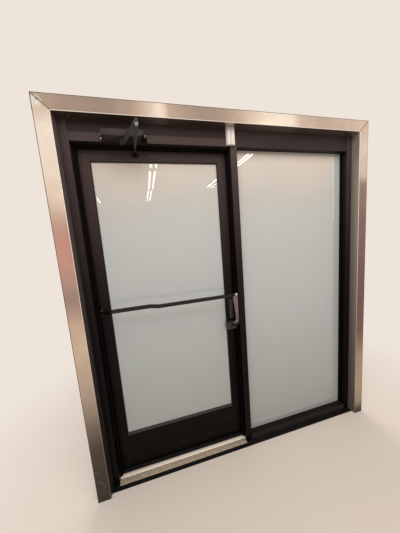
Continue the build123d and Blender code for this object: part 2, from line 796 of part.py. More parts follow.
def lever():
    """Flat bar seen face on, wide at the top, that bends back at its foot to a hub in the housing."""
    pivot_y, pivot_z = lever_pivot
    left_low = lever_right - lever_w_low
    left_top = lever_right - lever_w_top
    low = pivot_z - lever_hub_r
    face = make_face(Polyline((lever_right, low), (lever_right, lever_top), (left_top, lever_top),
                              (left_top, lever_taper_high), (left_low, lever_taper_low), (left_low, low),
                              close=True))
    face = fillet(face.vertices().sort_by(Axis.Y)[-2:], lever_t)
    middle = lever_front + lever_t / 2
    route = FilletPolyline((pivot_y, pivot_z), (middle, pivot_z + lever_foot_rise), (middle, lever_top),
                           radius=lever_bend_r)
    side = trace(route, lever_t) + Pos(pivot_y, pivot_z) * Circle(lever_hub_r)
    arm = facing(face, lever_front, pivot_y + lever_hub_r) & across(side, left_top, lever_right)
    bore = Pos(lever_right, pivot_y, pivot_z) * Rot(0, -90, 0) * Cylinder(
        lever_pin_r + shaft_clear, lever_w_low, align=(Align.CENTER, Align.CENTER, Align.MIN))
    cap = Pos(lever_right - cap_inset, lever_front, cap_z) * screw_head(cap_r, cap_dome)
    return {"lever_arm": arm - bore, "bar_end_cap": cap}


def latch():
    """Escutcheon, latch case with its faceplate, the sliding bolt and the strike on the mullion."""
    case = block(x_leaf_end - case_d, y_bolt - case_w / 2, latch_z - case_h / 2,
                 x_leaf_end, y_bolt + case_w / 2, latch_z + case_h / 2)
    case += block(x_leaf_end - faceplate_t, y_bolt - case_w / 2, latch_z - faceplate_h / 2,
                  x_leaf_end, y_bolt + case_w / 2, latch_z + faceplate_h / 2)
    case -= bolt_hole(x_leaf_end - bolt_l, x_leaf_end)
    bolt = block(x_leaf_end - bolt_l + bolt_clear, y_bolt - bolt_w / 2, latch_z - bolt_h / 2,
                 x_leaf_end - bolt_clear, y_bolt + bolt_w / 2, latch_z + bolt_h / 2)
    plate = RectangleRounded(escutcheon_w, escutcheon_h, escutcheon_t / 2)
    plate = Pos(x_leaf_end - escutcheon_inset, escutcheon_z) * plate
    plate = facing(plate, y_leaf - escutcheon_t, y_leaf)
    plate = fillet(plate.faces().sort_by(Axis.Y)[0].edges(), escutcheon_t / 4)
    return {
        "latch_escutcheon": plate,
        "latch_case": case,
        "latch_bolt": bolt,
        "strike_plate": strike_outline(x_latch, x_latch + strike_t) - bolt_hole(x_latch, x_latch + strike_t),
    }


def strike_outline(x, x_to):
    """The strike's blank, which also cuts its recess."""
    return block(x, y_bolt - case_w / 2, latch_z - strike_h / 2, x_to, y_bolt + case_w / 2,
                 latch_z + strike_h / 2)


def bolt_hole(x, x_to):
    """The bolt's passage with its clearance."""
    half_w = bolt_w / 2 + bolt_clear
    half_h = bolt_h / 2 + bolt_clear
    return block(x, y_bolt - half_w, latch_z - half_h, x_to, y_bolt + half_w, latch_z + half_h)


def pull_handle():
    """Round bar bent to a D on the far side of the latch stile, on two roses."""
    x = x_leaf_end - stile_w / 2
    low = pull_z - pull_l / 2
    high = pull_z + pull_l / 2
    out = frame_depth + pull_out
    route = FilletPolyline((x, frame_depth, low), (x, out, low), (x, out, high), (x, frame_depth, high),
                           radius=pull_bend)
    handle = sweep(Plane(origin=(x, frame_depth, low), z_dir=(0, 1, 0)) * Circle(pull_r), path=route)
    for z in (low, high):
        handle += Pos(x, frame_depth, z) * Rot(-90, 0, 0) * Cylinder(
            rose_r, rose_t, align=(Align.CENTER, Align.CENTER, Align.MIN))
    return {"pull_handle": handle}


def raceway():
    """Cable duct down the head from the soffit, bevelled, with a ridge along its middle."""
    half = raceway_w / 2
    flat = raceway_top_w / 2
    outline = make_face(Polyline((-half, 0), (-half, raceway_edge), (-flat, raceway_d), (flat, raceway_d),
                                 (half, raceway_edge), (half, 0), close=True))
    outline += plan_box(-raceway_ridge_w / 2, 0, raceway_ridge_w / 2, raceway_d + raceway_ridge_h)
    middle = x_latch + raceway_shift
    bottom = z_header + raceway_stop
    down = Plane(origin=(middle, 0, bottom), x_dir=(-1, 0, 0), z_dir=(0, 0, 1))
    return {"cable_raceway": extrude(down * outline, z_reveal - bottom)}


pieces = {}
for group in (casings, frame_uprights, frame_rails, floor_pieces, stops, sidelite, stiles, door_rails,
              beads, door_glazing, bottom_sweep, hinges, closer_housing, closer_arms, closer_shoe,
              push_bar, bar_bracket, latch_housing, lever, latch, pull_handle, raceway):
    pieces.update(group())

os.makedirs("parts", exist_ok=True)
for name, piece in pieces.items():
    export_step(piece, f"parts/{name}.step")
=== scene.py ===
# %% [markdown]
# Glass door, sidelite and frame
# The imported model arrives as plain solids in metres. This lesson dresses them: it sets the camera and the
# light, gives every part the finish of the real material, and models the details that solids leave out.

# %% Load the frame
import json
import math

import bmesh
import bpy
from mathutils import Matrix, Vector

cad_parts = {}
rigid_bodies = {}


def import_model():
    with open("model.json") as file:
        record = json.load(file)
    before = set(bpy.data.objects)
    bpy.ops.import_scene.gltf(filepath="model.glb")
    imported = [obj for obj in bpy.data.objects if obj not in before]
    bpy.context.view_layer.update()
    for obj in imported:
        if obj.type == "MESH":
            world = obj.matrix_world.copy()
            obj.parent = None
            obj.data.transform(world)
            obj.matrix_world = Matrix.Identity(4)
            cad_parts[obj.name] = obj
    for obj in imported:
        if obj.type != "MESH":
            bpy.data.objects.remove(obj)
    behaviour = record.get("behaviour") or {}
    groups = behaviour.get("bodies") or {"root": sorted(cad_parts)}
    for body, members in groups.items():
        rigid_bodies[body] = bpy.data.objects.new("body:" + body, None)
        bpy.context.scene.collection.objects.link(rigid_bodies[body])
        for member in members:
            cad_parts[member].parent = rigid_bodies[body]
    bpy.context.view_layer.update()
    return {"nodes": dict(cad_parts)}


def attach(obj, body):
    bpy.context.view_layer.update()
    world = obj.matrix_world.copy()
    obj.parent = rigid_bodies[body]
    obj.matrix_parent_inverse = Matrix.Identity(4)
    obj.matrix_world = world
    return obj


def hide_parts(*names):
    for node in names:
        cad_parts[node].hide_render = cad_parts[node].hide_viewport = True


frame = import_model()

nodes = frame["nodes"]
bpy.ops.object.select_all(action="DESELECT")

# %% [markdown]
# The camera
# A photograph fixes a camera: where it stood, which way it faced and how wide it saw. These numbers were
# solved from the straight edges of the frame, whose real sizes are known, so the model lands on the same
# lines. The rows below are the camera's right, down and forward directions in the model's axes.

# %% Camera
right = Vector((0.968754, -0.235125, -0.078937))
down = Vector((-0.104476, -0.098203, -0.989667))
forward = Vector((0.224944, 0.966991, -0.119699))
eye_point = Vector((-0.547569, -1.205000, 1.539686))
focal_px, picture_h = 191.097, 533
nearest, farthest = 0.02, 60

camera = bpy.data.objects.new("camera", bpy.data.cameras.new("camera"))
bpy.context.scene.collection.objects.link(camera)
axes = Matrix((right, -down, -forward)).transposed().to_4x4()
camera.matrix_world = Matrix.Translation(eye_point) @ axes
camera.data.sensor_width = 36
camera.data.lens = focal_px / picture_h * camera.data.sensor_width
camera.data.clip_start, camera.data.clip_end = nearest, farthest
bpy.context.scene.camera = camera
print("lens:", round(camera.data.lens, 2), "mm")

# %% [markdown]
# Colours
# Colours are easiest to write as hex, the way a paint chart gives them, but a shader wants linear light,
# so one function turns them.

# %% Colour helper


def colour(code):
    """Linear RGBA of an sRGB hex colour."""
    parts = [int(code[i:i + 2], 16) / 255 for i in (1, 3, 5)]
    return [c / 12.92 if c <= 0.04045 else ((c + 0.055) / 1.055) ** 2.4 for c in parts] + [1]


print("a mid grey in linear light:", round(colour("#808080")[0], 3))

# %% [markdown]
# Nodes
# A node is added, set, given its inputs and linked. One function does all four, so that a finish reads as
# a short list. An input is either a value or the output of a node before it, and a colour ramp has stops.

# %% Node helpers


def add(material, kind, settings=None, inputs=None, stops=()):
    """A shader node with its settings, its inputs as values or sockets, and a ramp's (place, hex) stops."""
    node = material.node_tree.nodes.new("ShaderNode" + kind)
    for name, value in (settings or {}).items():
        setattr(node, name, value)
    for name, value in (inputs or {}).items():
        if isinstance(value, bpy.types.NodeSocket):
            material.node_tree.links.new(value, node.inputs[name])
        else:
            node.inputs[name].default_value = value
    if stops:
        (first_at, first_code), *others = sorted(stops)
        points = node.color_ramp.elements
        points.remove(points[1])
        points[0].position, points[0].color = first_at, colour(first_code)
        for at, code in others:
            points.new(at).color = colour(code)
    return node


def plug(material, source, socket):
    """Links an output to an input."""
    material.node_tree.links.new(source, socket)


# %% [markdown]
# The start of every material
# Each material begins with Blender's all-round shader, set to a few constants. Its patterns are laid out
# by the object's own coordinates, in metres, so they keep their real size and stay on the piece when it
# moves.

# %% Material helper


def new_material(name, **constants):
    """An empty material, its Principled shader with these constants, and the object's coordinates."""
    material = bpy.data.materials.new(name)
    material.use_nodes = True
    shader = material.node_tree.nodes["Principled BSDF"]
    for socket, value in constants.items():
        shader.inputs[socket.replace("_", " ")].default_value = value
    return material, shader, add(material, "TexCoord").outputs["Object"]


# %% [markdown]
# Grain
# Drawn, brushed and moulded surfaces all have a fine grain. A noise that is stretched along the piece
# gives it: it moves the roughness between two values and adds a slight relief. Noise rarely leaves the
# middle of its range, so the two ends below are taken as its darkest and lightest.

# %% Grain helper
noise_low, noise_high = 0.3, 0.7


def grained(material, shader, place, per_m, detail, rough_from, rough_to, depth):
    """Grain with so many ridges per metre along X, Y and Z: it moves the roughness, and is so deep."""
    stretched = add(material, "Mapping", inputs={"Vector": place, "Scale": per_m}).outputs[0]
    noise = add(material, "TexNoise", inputs={"Vector": stretched, "Scale": 1, "Detail": detail})
    grain = noise.outputs["Fac"]
    rough = add(material, "MapRange", inputs={"Value": grain, "From Min": noise_low, "From Max": noise_high,
                                              "To Min": rough_from, "To Max": rough_to})
    relief = add(material, "Bump", inputs={"Height": grain, "Distance": depth})
    plug(material, rough.outputs[0], shader.inputs["Roughness"])
    plug(material, relief.outputs[0], shader.inputs["Normal"])


# %% [markdown]
# Dark bronze anodised aluminium
# Storefront frames are extruded, etched and anodised, which leaves a dark brown, satin oxide. Here its
# colour also carries painted light: it is brownest near the head, where light falls from above, and near
# black at the foot, in painted shade. So each colour is a ramp over the height: a tone for each share of the
# frame's height. Pieces that stand in more light or more shade than the frame's front have ramps of their
# own, which paint that light and shade.

# %% Bronze tones
frame_height = 2.3
# Painted light at the head, fading to painted shade at the foot.
bronze_painted_light_tones = ((0.1, "#080605"), (0.24, "#090707"), (0.42, "#140f0f"), (0.57, "#201918"), (0.68, "#302626"),
             (0.83, "#403334"), (0.94, "#483c39"))
# Painted light on the bottom bead and the sill, painted shade on the filler and on the stops in the recess.
painted_lit_bead_tones = ((0.1, "#443e3d"), (0.5, "#3e3836"), (0.94, "#483c39"))
painted_shade_tones = ((0.1, "#0a0807"), (0.9, "#302928"), (0.98, "#372e2d"))
painted_recess_shade_tones = ((0.1, "#060505"), (0.5, "#0c0909"), (0.94, "#1b1415"))
painted_lit_sill_tones = ((0.1, "#302a29"), (0.9, "#383130"))
print("bronze goes from", bronze_painted_light_tones[0][1], "at the foot to", bronze_painted_light_tones[-1][1], "at the head")

# %% [markdown]
# The ramp in use
# A soft cloud shifts the ramp a little, so that no step of tone runs dead level across the frame. The
# sides of the recess between the frame's front and the panes get hardly any light, so whatever lies
# between those two depths is dimmed.

# %% Tone by height and depth
soft_pitch, drift_share = 0.25, 0.05
recess_from, recess_to, recess_dim = 0.003, 0.066, 0.42


def height_tone(material, place, tones):
    """The ramp's colour at each height, shifted a little by a soft cloud."""
    height = add(material, "SeparateXYZ", inputs={"Vector": place}).outputs["Z"]
    half = drift_share / 2
    share = add(material, "MapRange", inputs={"Value": height, "From Max": frame_height, "To Min": -half,
                                              "To Max": 1 - half}).outputs[0]
    drift = add(material, "TexNoise", inputs={"Vector": place, "Scale": 1 / soft_pitch, "Detail": 3})
    moved = add(material, "Math", {"operation": "MULTIPLY_ADD"},
                {0: drift.outputs["Fac"], 1: drift_share, 2: share}).outputs[0]
    return add(material, "ValToRGB", inputs={"Fac": moved}, stops=tones).outputs["Color"]


def dim_in_recess(material, place, tone):
    """The tone, dimmed between the frame's front and the panes."""
    depth = add(material, "SeparateXYZ", inputs={"Vector": place}).outputs["Y"]
    behind = add(material, "Math", {"operation": "GREATER_THAN"}, {0: depth, 1: recess_from}).outputs[0]
    before = add(material, "Math", {"operation": "LESS_THAN"}, {0: depth, 1: recess_to}).outputs[0]
    recess = add(material, "Math", {"operation": "MULTIPLY"}, {0: behind, 1: before}).outputs[0]
    value = add(material, "MapRange", inputs={"Value": recess, "To Min": 1.0, "To Max": recess_dim})
    return add(material, "HueSaturation", inputs={"Color": tone, "Value": value.outputs[0]}).outputs[0]


# %% [markdown]
# Die lines
# The oxide keeps the fine lines that the die drew in the metal, so it is a little streaky along each
# length. They are about 0.1 mm apart, too fine to show here, and are drawn some 3 mm apart. Uprights and
# rails run different ways, so each finish is made with its lines along Z or along X. The stops in the
# recess run both ways and hardly show, so one finish with a small even grain does for them.

# %% Anodised finishes
line_pitch, line_depth = 0.003, 0.00004
per_m_across, per_m_along = 1 / line_pitch, 2
upright_lines = (per_m_across, per_m_across, per_m_along)
level_lines = (per_m_along, per_m_across, per_m_across)
even_grain = (per_m_across, per_m_across, per_m_across)


def anodised(name, lines_per_m, tones):
    """Satin anodised aluminium in tones by height, with die lines."""
    material, shader, place = new_material(name, Metallic=0.25, Specular_IOR_Level=0.12)
    tone = dim_in_recess(material, place, height_tone(material, place, tones))
    plug(material, tone, shader.inputs["Base Color"])
    grained(material, shader, place, lines_per_m, detail=2, rough_from=0.34, rough_to=0.48, depth=line_depth)
    return material


bronze_upright = anodised("bronze_anodised_upright", upright_lines, bronze_painted_light_tones)
bronze_level = anodised("bronze_anodised_level", level_lines, bronze_painted_light_tones)
# Copies of the bronze: painted light on the bead and the sill, painted shade on the filler and the stops.
bronze_bead_painted_lit = anodised("bronze_anodised_bead", level_lines, painted_lit_bead_tones)
bronze_filler_painted_shade = anodised("bronze_anodised_filler", level_lines, painted_shade_tones)
bronze_recess_painted_shade = anodised("bronze_anodised_recess", even_grain, painted_recess_shade_tones)
bronze_sill_painted_lit = anodised("bronze_anodised_sill", level_lines, painted_lit_sill_tones)
print("die lines drawn", line_pitch * 1000, "mm apart")

# %% [markdown]
# Brushed stainless sheet
# The casing is thin stainless sheet with a brushed face. Such sheet is never quite flat, so it mirrors
# what is around it in soft bands along its length. A plain studio has nothing to mirror, so the bands are
# drawn as tones, each at its place along the piece. A slow ripple bends their edges, and soft marks some
# eight centimetres wide lie over them.

# %% Bands along the sheet
band_pitch, ripple_reach = 0.2, 0.06
marks_per_m, mark_darkest, mark_lightest = 13, 0.95, 1.04


def banded(material, place, axis, span, bands):
    """Tones along the axis: span is the sheet's two ends, bands its (place, tone) pairs."""
    run = add(material, "SeparateXYZ", inputs={"Vector": place}).outputs[axis]
    ripple = add(material, "TexNoise", inputs={"Vector": place, "Scale": 1 / band_pitch, "Detail": 2})
    moved = add(material, "Math", {"operation": "MULTIPLY_ADD"},
                {0: ripple.outputs["Fac"], 1: ripple_reach, 2: run}).outputs[0]
    half, reach = ripple_reach / 2, span[1] - span[0]
    share = add(material, "MapRange", inputs={"Value": moved, "From Min": span[0] + half,
                                              "From Max": span[1] + half}).outputs[0]
    stops = [((at - span[0]) / reach, tone) for at, tone in bands]
    tone = add(material, "ValToRGB", inputs={"Fac": share}, stops=stops).outputs["Color"]
    marks = add(material, "TexNoise", inputs={"Vector": place, "Scale": marks_per_m, "Detail": 1,
                                              "Distortion": 0.3}).outputs["Fac"]
    shade = add(material, "MapRange", inputs={"Value": marks, "From Min": noise_low, "From Max": noise_high,
                                              "To Min": mark_darkest, "To Max": mark_lightest}).outputs[0]
    return add(material, "HueSaturation", inputs={"Color": tone, "Value": shade}).outputs[0]


# %% [markdown]
# A crumpled corner
# The casing's upper left corner has been bent, and the sheet is crumpled there. Its dents are painted as
# small pale and dark reflections, which are strongest at the corner and gone four centimetres from it.

# %% Dents at the corner
bent_corner = (-1.028, -0.06, 2.276)
dents_strong_to, dents_gone_at, dents_strength = 0.01, 0.042, 0.85
dents_per_m = 48
# Painted reflections of the dents, from dark to white.
dent_painted_reflections = ((0.36, "#93867b"), (0.46, "#f4ebe2"), (0.6, "#ffffff"))


def with_painted_dents(material, place, tone):
    """The tone, with painted reflections of dents mixed in near the bent corner."""
    away = add(material, "VectorMath", {"operation": "DISTANCE"}, {0: place, 1: bent_corner})
    bent = add(material, "MapRange", {"interpolation_type": "SMOOTHSTEP"},
               {"Value": away.outputs["Value"], "From Min": dents_strong_to,
                "From Max": dents_gone_at, "To Min": dents_strength, "To Max": 0.0}).outputs[0]
    wrinkle = add(material, "TexNoise", inputs={"Vector": place, "Scale": dents_per_m, "Detail": 1,
                                                "Distortion": 1.5}).outputs["Fac"]
    dents = add(material, "ValToRGB", inputs={"Fac": wrinkle}, stops=dent_painted_reflections).outputs["Color"]
    return add(material, "Mix", {"data_type": "RGBA"}, {"Factor": bent, 6: tone, 7: dents}).outputs[2]


# %% [markdown]
# Places on the sheet
# The fold, the rim and the return are found by three measures: how far out from the door's middle a point
# is, how deep it lies, and how well its height is lit, as less light falls low down. The side sheets run
# along Z and the head sheet along X, so each has its own edges.

# %% Places on the sheet
sheet_edges = {"Z": (0.966875, 1.043075), "X": (2.24005, 2.31625)}
sheet_front = -0.0585
lit_from, lit_to, least_lit = 0.4, 1.7, 0.2


def sheet_places(material, place, axis):
    """How far out a point is, its depth, and how well its height is lit."""
    apart = add(material, "SeparateXYZ", inputs={"Vector": place}).outputs
    sideways = apart["X" if axis == "Z" else "Z"]
    out = add(material, "Math", {"operation": "ABSOLUTE"}, {0: sideways}).outputs[0]
    lit = add(material, "MapRange", inputs={"Value": apart["Z"], "From Min": lit_from, "From Max": lit_to,
                                            "To Min": least_lit}).outputs[0]
    return out, apart["Y"], lit


# %% [markdown]
# Fold and rim
# Along its inner edge the sheet is folded back to the frame, and the fold is given a painted highlight, a
# bright line on the front that is weaker low down. The outer edge ends in a dark rim, a painted shadow of
# the gap behind the sheet's edge. Both are two to four millimetres wide.

# %% Fold and rim
# The fold's painted highlight and the rim's painted shadow.
fold_wide, fold_painted_highlight = 0.0028, "#fffaf2"
rim_wide, rim_painted_shadow = 0.0036, "#4d433c"


def edged(material, tone, axis, out, depth, lit):
    """The tone, with the fold's painted highlight and the rim's painted shadow."""
    inner, outer = sheet_edges[axis]
    near = add(material, "Math", {"operation": "LESS_THAN"}, {0: out, 1: inner + fold_wide}).outputs[0]
    front = add(material, "Math", {"operation": "LESS_THAN"}, {0: depth, 1: sheet_front}).outputs[0]
    fold = add(material, "Math", {"operation": "MULTIPLY"}, {0: near, 1: front}).outputs[0]
    fold = add(material, "Math", {"operation": "MULTIPLY"}, {0: fold, 1: lit}).outputs[0]
    rim = add(material, "Math", {"operation": "GREATER_THAN"}, {0: out, 1: outer - rim_wide}).outputs[0]
    folded = add(material, "Mix", {"data_type": "RGBA"}, {"Factor": fold, 6: tone, 7: colour(fold_painted_highlight)})
    return add(material, "Mix", {"data_type": "RGBA"},
               {"Factor": rim, 6: folded.outputs[2], 7: colour(rim_painted_shadow)}).outputs[2]


# %% [markdown]
# The return
# The part that turns back to the frame lies in shade and mirrors only the dark frame, so it has two tones
# of its own, one for low down and one for high up, and acts less like a mirror. The head's return isn't
# seen from the front, and keeps the bands.

# %% The return
return_thick, return_metal = 0.0012, 0.35


def with_return(material, shader, tone, axis, out, depth, lit, low_code, high_code):
    """The tone, with the inner return's own tones on it, and less metal there."""
    behind = add(material, "Math", {"operation": "GREATER_THAN"}, {0: depth, 1: sheet_front}).outputs[0]
    inner = sheet_edges[axis][0] + return_thick
    beside = add(material, "Math", {"operation": "LESS_THAN"}, {0: out, 1: inner}).outputs[0]
    inside = add(material, "Math", {"operation": "MULTIPLY"}, {0: beside, 1: behind}).outputs[0]
    own = add(material, "Mix", {"data_type": "RGBA"},
              {"Factor": lit, 6: colour(low_code), 7: colour(high_code)}).outputs[2]
    metal = add(material, "MapRange", inputs={"Value": inside, "To Min": 1.0, "To Max": return_metal})
    plug(material, metal.outputs[0], shader.inputs["Metallic"])
    return add(material, "Mix", {"data_type": "RGBA"}, {"Factor": inside, 6: tone, 7: own}).outputs[2]


# %% [markdown]
# The brushed recipe
# Brushing leaves grooves of a few hundredths of a millimetre along the sheet. They are drawn 2 mm apart,
# which is as fine as the picture can show. The recipe puts bands, dents, edges and grooves together.

# %% Brushed recipe
brush_pitch, groove_depth = 0.002, 0.000007
per_m_across, per_m_along = 1 / brush_pitch, 3
grooves_per_m = {"Z": (per_m_across, per_m_across, per_m_along),
                 "X": (per_m_along, per_m_across, per_m_across)}


def brushed(name, axis, span, bands, return_codes=None):
    """Brushed sheet along an axis, between two ends, in bands, with its low and high return tones."""
    material, shader, place = new_material(name, Metallic=1)
    places = sheet_places(material, place, axis)
    tone = with_painted_dents(material, place, banded(material, place, axis, span, bands))
    tone = edged(material, tone, axis, *places)
    if return_codes:
        tone = with_return(material, shader, tone, axis, *places, *return_codes)
    plug(material, tone, shader.inputs["Base Color"])
    grained(material, shader, place, grooves_per_m[axis], detail=4, rough_from=0.27, rough_to=0.35,
            depth=groove_depth)
    return material


print("grooves drawn", brush_pitch * 1000, "mm apart")

# %% [markdown]
# Tones of the side sheets
# Each pair is a height in metres and the tone there. The left sheet is dark at the foot and glares near
# the head. The right one is warm and dull for most of its height, with a pale stretch above.

# %% Side sheet finishes
deep, glare = "#514b46", "#fff6ea"
casing_left_steel = brushed(
    "stainless_brushed_left", "Z", (0, 2.32),
    ((0.0, "#4a4541"), (0.22, deep), (0.36, "#5c544e"), (0.52, "#857a71"), (0.62, "#a99a8c"),
     (0.76, "#c2b1a1"), (1.0, "#d6c0ab"), (1.15, "#cdb5a3"), (1.27, "#a69087"), (1.33, "#ad968b"),
     (1.43, "#cba297"), (1.6, "#cf9f92"), (1.68, "#cdac9e"), (1.76, "#dfcabc"), (1.84, "#f0dccd"),
     (2.05, glare), (2.17, glare), (2.25, "#e6d4c4"), (2.32, "#bfab9c")),
    ("#100e0d", "#72655f"))
casing_right_steel = brushed(
    "stainless_brushed_right", "Z", (0, 2.32),
    ((0.02, deep), (0.1, "#a99b88"), (0.3, "#b4a38c"), (0.52, "#a89681"), (0.66, "#8e7066"),
     (0.75, "#7d5c54"), (1.1, "#7f5f58"), (1.6, "#8f736a"), (1.88, "#a08f85"), (1.94, "#dccbbe"),
     (2.1, "#f2e0d2"), (2.2, "#e9d8ca"), (2.32, "#dac7b8")),
    ("#6c615b", "#a0948b"))
print("side sheets:", casing_left_steel.name, casing_right_steel.name)

# %% [markdown]
# Tones of the head sheet
# Here each pair is a place across the door, from left to right. The sheet glares twice, where it is a
# little bowed towards the light.

# %% Head sheet finish
casing_head_steel = brushed(
    "stainless_brushed_head", "X", (-1.05, 1.05),
    ((-1.0, "#bdab9d"), (-0.75, "#ab988b"), (-0.66, "#b3a294"), (-0.6, "#b8a698"), (-0.53, "#d6c4b5"),
     (-0.44, glare), (-0.415, "#fbeddd"), (-0.385, "#cdb9aa"), (-0.22, "#b3a195"), (-0.12, "#b5a397"),
     (0.02, "#ccbbac"), (0.2, "#fbecdb"), (0.4, glare), (0.43, "#f5e3d3"), (0.47, "#ddcbbb"),
     (0.62, "#d2c0b1"), (0.8, "#d9c7b7"), (1.0, "#e6d3c2")))
print("head sheet:", casing_head_steel.name)

# %% [markdown]
# Frosted glass
# The panes carry a white etched film, so nothing shows through, while the smooth outer face still mirrors
# what is before it. A matt pale base under a clear coat gives both at once. The film's tone carries painted
# light: it is paler and warmer high up, where light falls from above, and darker and greener low down, in
# painted shade, where the green of the iron in the glass shows most. The panes are faintly cloudy. The
# sidelite's film stops short of the edge at one side and at the foot, where bare glass shows.

# %% Frosted glass finish
door_height = 2.2
clouds_per_m, cloud_share = 2.2, 0.12
# Painted light over the height: darker and greener low down, paler and warmer high up.
film_painted_light_tones = ((0.1, "#a1a5a1"), (0.4, "#acb0ad"), (0.56, "#b3b5b2"), (0.74, "#b4b6b2"), (0.81, "#b6b6b2"),
              (0.88, "#b9b4ac"), (1.0, "#c9bcae"))
bare_glass = "#a9aba8"


def frosted(name, margins=None):
    """Frosted glass. Past the first margin in X and under the second in Z the film stops short."""
    material, shader, place = new_material(name, Roughness=0.55, Coat_Weight=1.0, Coat_Roughness=0.015)
    apart = add(material, "SeparateXYZ", inputs={"Vector": place}).outputs
    cloud = add(material, "TexNoise", inputs={"Vector": place, "Scale": clouds_per_m, "Detail": 2,
                                              "Roughness": 0.4}).outputs["Fac"]
    share = add(material, "MapRange", inputs={"Value": apart["Z"], "From Max": door_height}).outputs[0]
    moved = add(material, "Math", {"operation": "MULTIPLY_ADD"}, {0: cloud, 1: cloud_share, 2: share})
    tone = add(material, "ValToRGB", inputs={"Fac": moved.outputs[0]}, stops=film_painted_light_tones).outputs["Color"]
    if margins:
        beside = add(material, "Math", {"operation": "GREATER_THAN"}, {0: apart["X"], 1: margins[0]})
        below = add(material, "Math", {"operation": "LESS_THAN"}, {0: apart["Z"], 1: margins[1]})
        bare = add(material, "Math", {"operation": "MAXIMUM"},
                   {0: beside.outputs[0], 1: below.outputs[0]}).outputs[0]
        tone = add(material, "Mix", {"data_type": "RGBA"},
                   {"Factor": bare, 6: tone, 7: colour(bare_glass)}).outputs[2]
    plug(material, tone, shader.inputs["Base Color"])
    return material


film_right_edge, film_foot = 0.853, 0.105
door_glass_finish = frosted("glass_frosted_door")
sidelite_glass_finish = frosted("glass_frosted_sidelite", (film_right_edge, film_foot))
print("glass:", door_glass_finish.name, sidelite_glass_finish.name)

# %% [markdown]
# The small finishes
# Rubber, paint, mill aluminium, satin steel and plastic share one recipe: a colour that wanders a little,
# and a fine grain. Brushing is finer than a tenth of a millimetre, so it is drawn about a millimetre
# apart, and its grain is stretched along the way that the piece was brushed.

# %% Simple finish recipe
even, brushed_up, brushed_level = (90, 90, 90), (900, 900, 6), (6, 900, 900)
grain_depth, rough_wander = 0.00002, 0.06


def plain(name, dark, light, rough, metal=0.0, grain=even, gloss=0.5, clouds=12):
    """A colour that wanders between two tones, with so many clouds and grains per metre."""
    material, shader, place = new_material(name, Metallic=metal, Specular_IOR_Level=gloss)
    cloud = add(material, "TexNoise", inputs={"Vector": place, "Scale": clouds, "Detail": 3}).outputs["Fac"]
    tone = add(material, "ValToRGB", inputs={"Fac": cloud}, stops=((noise_low, dark), (noise_high, light)))
    plug(material, tone.outputs["Color"], shader.inputs["Base Color"])
    grained(material, shader, place, grain, detail=3, rough_from=rough - rough_wander,
            rough_to=rough + rough_wander, depth=grain_depth)
    return material


# %% [markdown]
# Rubber, plastic and film
# Gaskets are matt extruded rubber. The dark sealant is a shade browner, and the same finish gives the
# painted shadow lines in the forearm's slot and beside the duct's rib. The duct is off-white plastic with a
# dull sheen. The film's lifted hem is paler than the film, as it scatters more light, and the film's cut
# edge carries a painted highlight.

# %% Rubber, plastic and film
rubber = plain("rubber_extruded_black", "#0a0a0a", "#131211", 0.7, gloss=0.3)
dark_seams_and_shadow_lines = plain("sealant_dark", "#2b2522", "#3a322d", 0.6, gloss=0.3)
black_plastic = plain("plastic_black", "#060505", "#0b0a0a", 0.6, gloss=0.12)
duct = plain("pvc_off_white", "#d8c8c0", "#e6d8d1", 0.45)
film_edge = plain("film_edge_pale", "#d9dad4", "#e8e7e0", 0.5, gloss=0.3)
film_hem = plain("film_hem_pale", "#abb1b0", "#b3b8b6", 0.5, gloss=0.5)
print("duct:", duct.name)

# %% [markdown]
# Painted metal
# The closer's case is sprayed bronze and its arms grey, with a soft sheen. The latch housing is cast zinc in
# taupe paint. The forearm's eye is a paler grey, and scuffed rails show the paler metal through the paint.

# %% Painted metal
black_steel = plain("steel_painted_black", "#0b0a0a", "#151313", 0.45, gloss=0.4)
closer_paint = plain("steel_painted_bronze", "#2b2523", "#372f2d", 0.42, metal=0.2, gloss=0.35)
closer_arm_paint = plain("steel_painted_grey", "#2f2f2c", "#3c3c38", 0.4, metal=0.3)
housing_paint = plain("zinc_painted_taupe", "#362f2f", "#403838", 0.4, metal=0.3, gloss=0.35)
pale_arm_grey = plain("steel_painted_grey_worn", "#56564f", "#6a6a63", 0.4, metal=0.3)
scuffed = plain("bronze_scuffed", "#5d534c", "#7d7169", 0.6, gloss=0.2)
print("closer:", closer_paint.name, "with", closer_arm_paint.name)

# %% [markdown]
# Bare metal
# Mill aluminium is as the rolls left it: pale, dull and lined along its length. The steel of levers, plates
# and hinges is satin, brushed one way. Screws are bright, the lever's lip is a painted highlight, and the
# dark screws have a black oxide.

# %% Bare metal
mill = plain("aluminium_mill", "#fbe6d3", "#fff4e4", 0.5, metal=0.05, grain=(4, 900, 900), clouds=60)
# Mill aluminium scraped at the front, and painted darker there as shade on a face turned from the light.
mill_scraped_painted_shade = plain("aluminium_mill_worn", "#75675a", "#c6b39d", 0.5, metal=0.2, grain=(60, 400, 400),
                  clouds=170)
satin = plain("steel_satin", "#8d8580", "#a39a94", 0.32, metal=0.9, grain=brushed_up)
lever_finish = plain("steel_satin_lever", "#705f5c", "#82716d", 0.36, metal=0.6, grain=brushed_up)
plate_finish = plain("steel_satin_plate", "#37312d", "#443d38", 0.36, metal=0.5, grain=brushed_up)
bar_finish = plain("steel_dark_satin", "#0b0a0a", "#13110f", 0.26, grain=brushed_level, gloss=0.32)
painted_highlight_steel = plain("steel_bright", "#d9d6d2", "#efece8", 0.18, metal=1)
screw_steel = plain("steel_screws", "#c9c4bd", "#ddd8d0", 0.25, metal=0.9)
black_screw = plain("steel_screws_black", "#1a1818", "#2c2928", 0.35, metal=0.5)
worn_nut = plain("steel_nut_worn", "#9b9a94", "#b4b2ab", 0.3, metal=0.8)
dull_cap = plain("steel_cap_dull", "#5c554f", "#75695f", 0.4, metal=0.6)
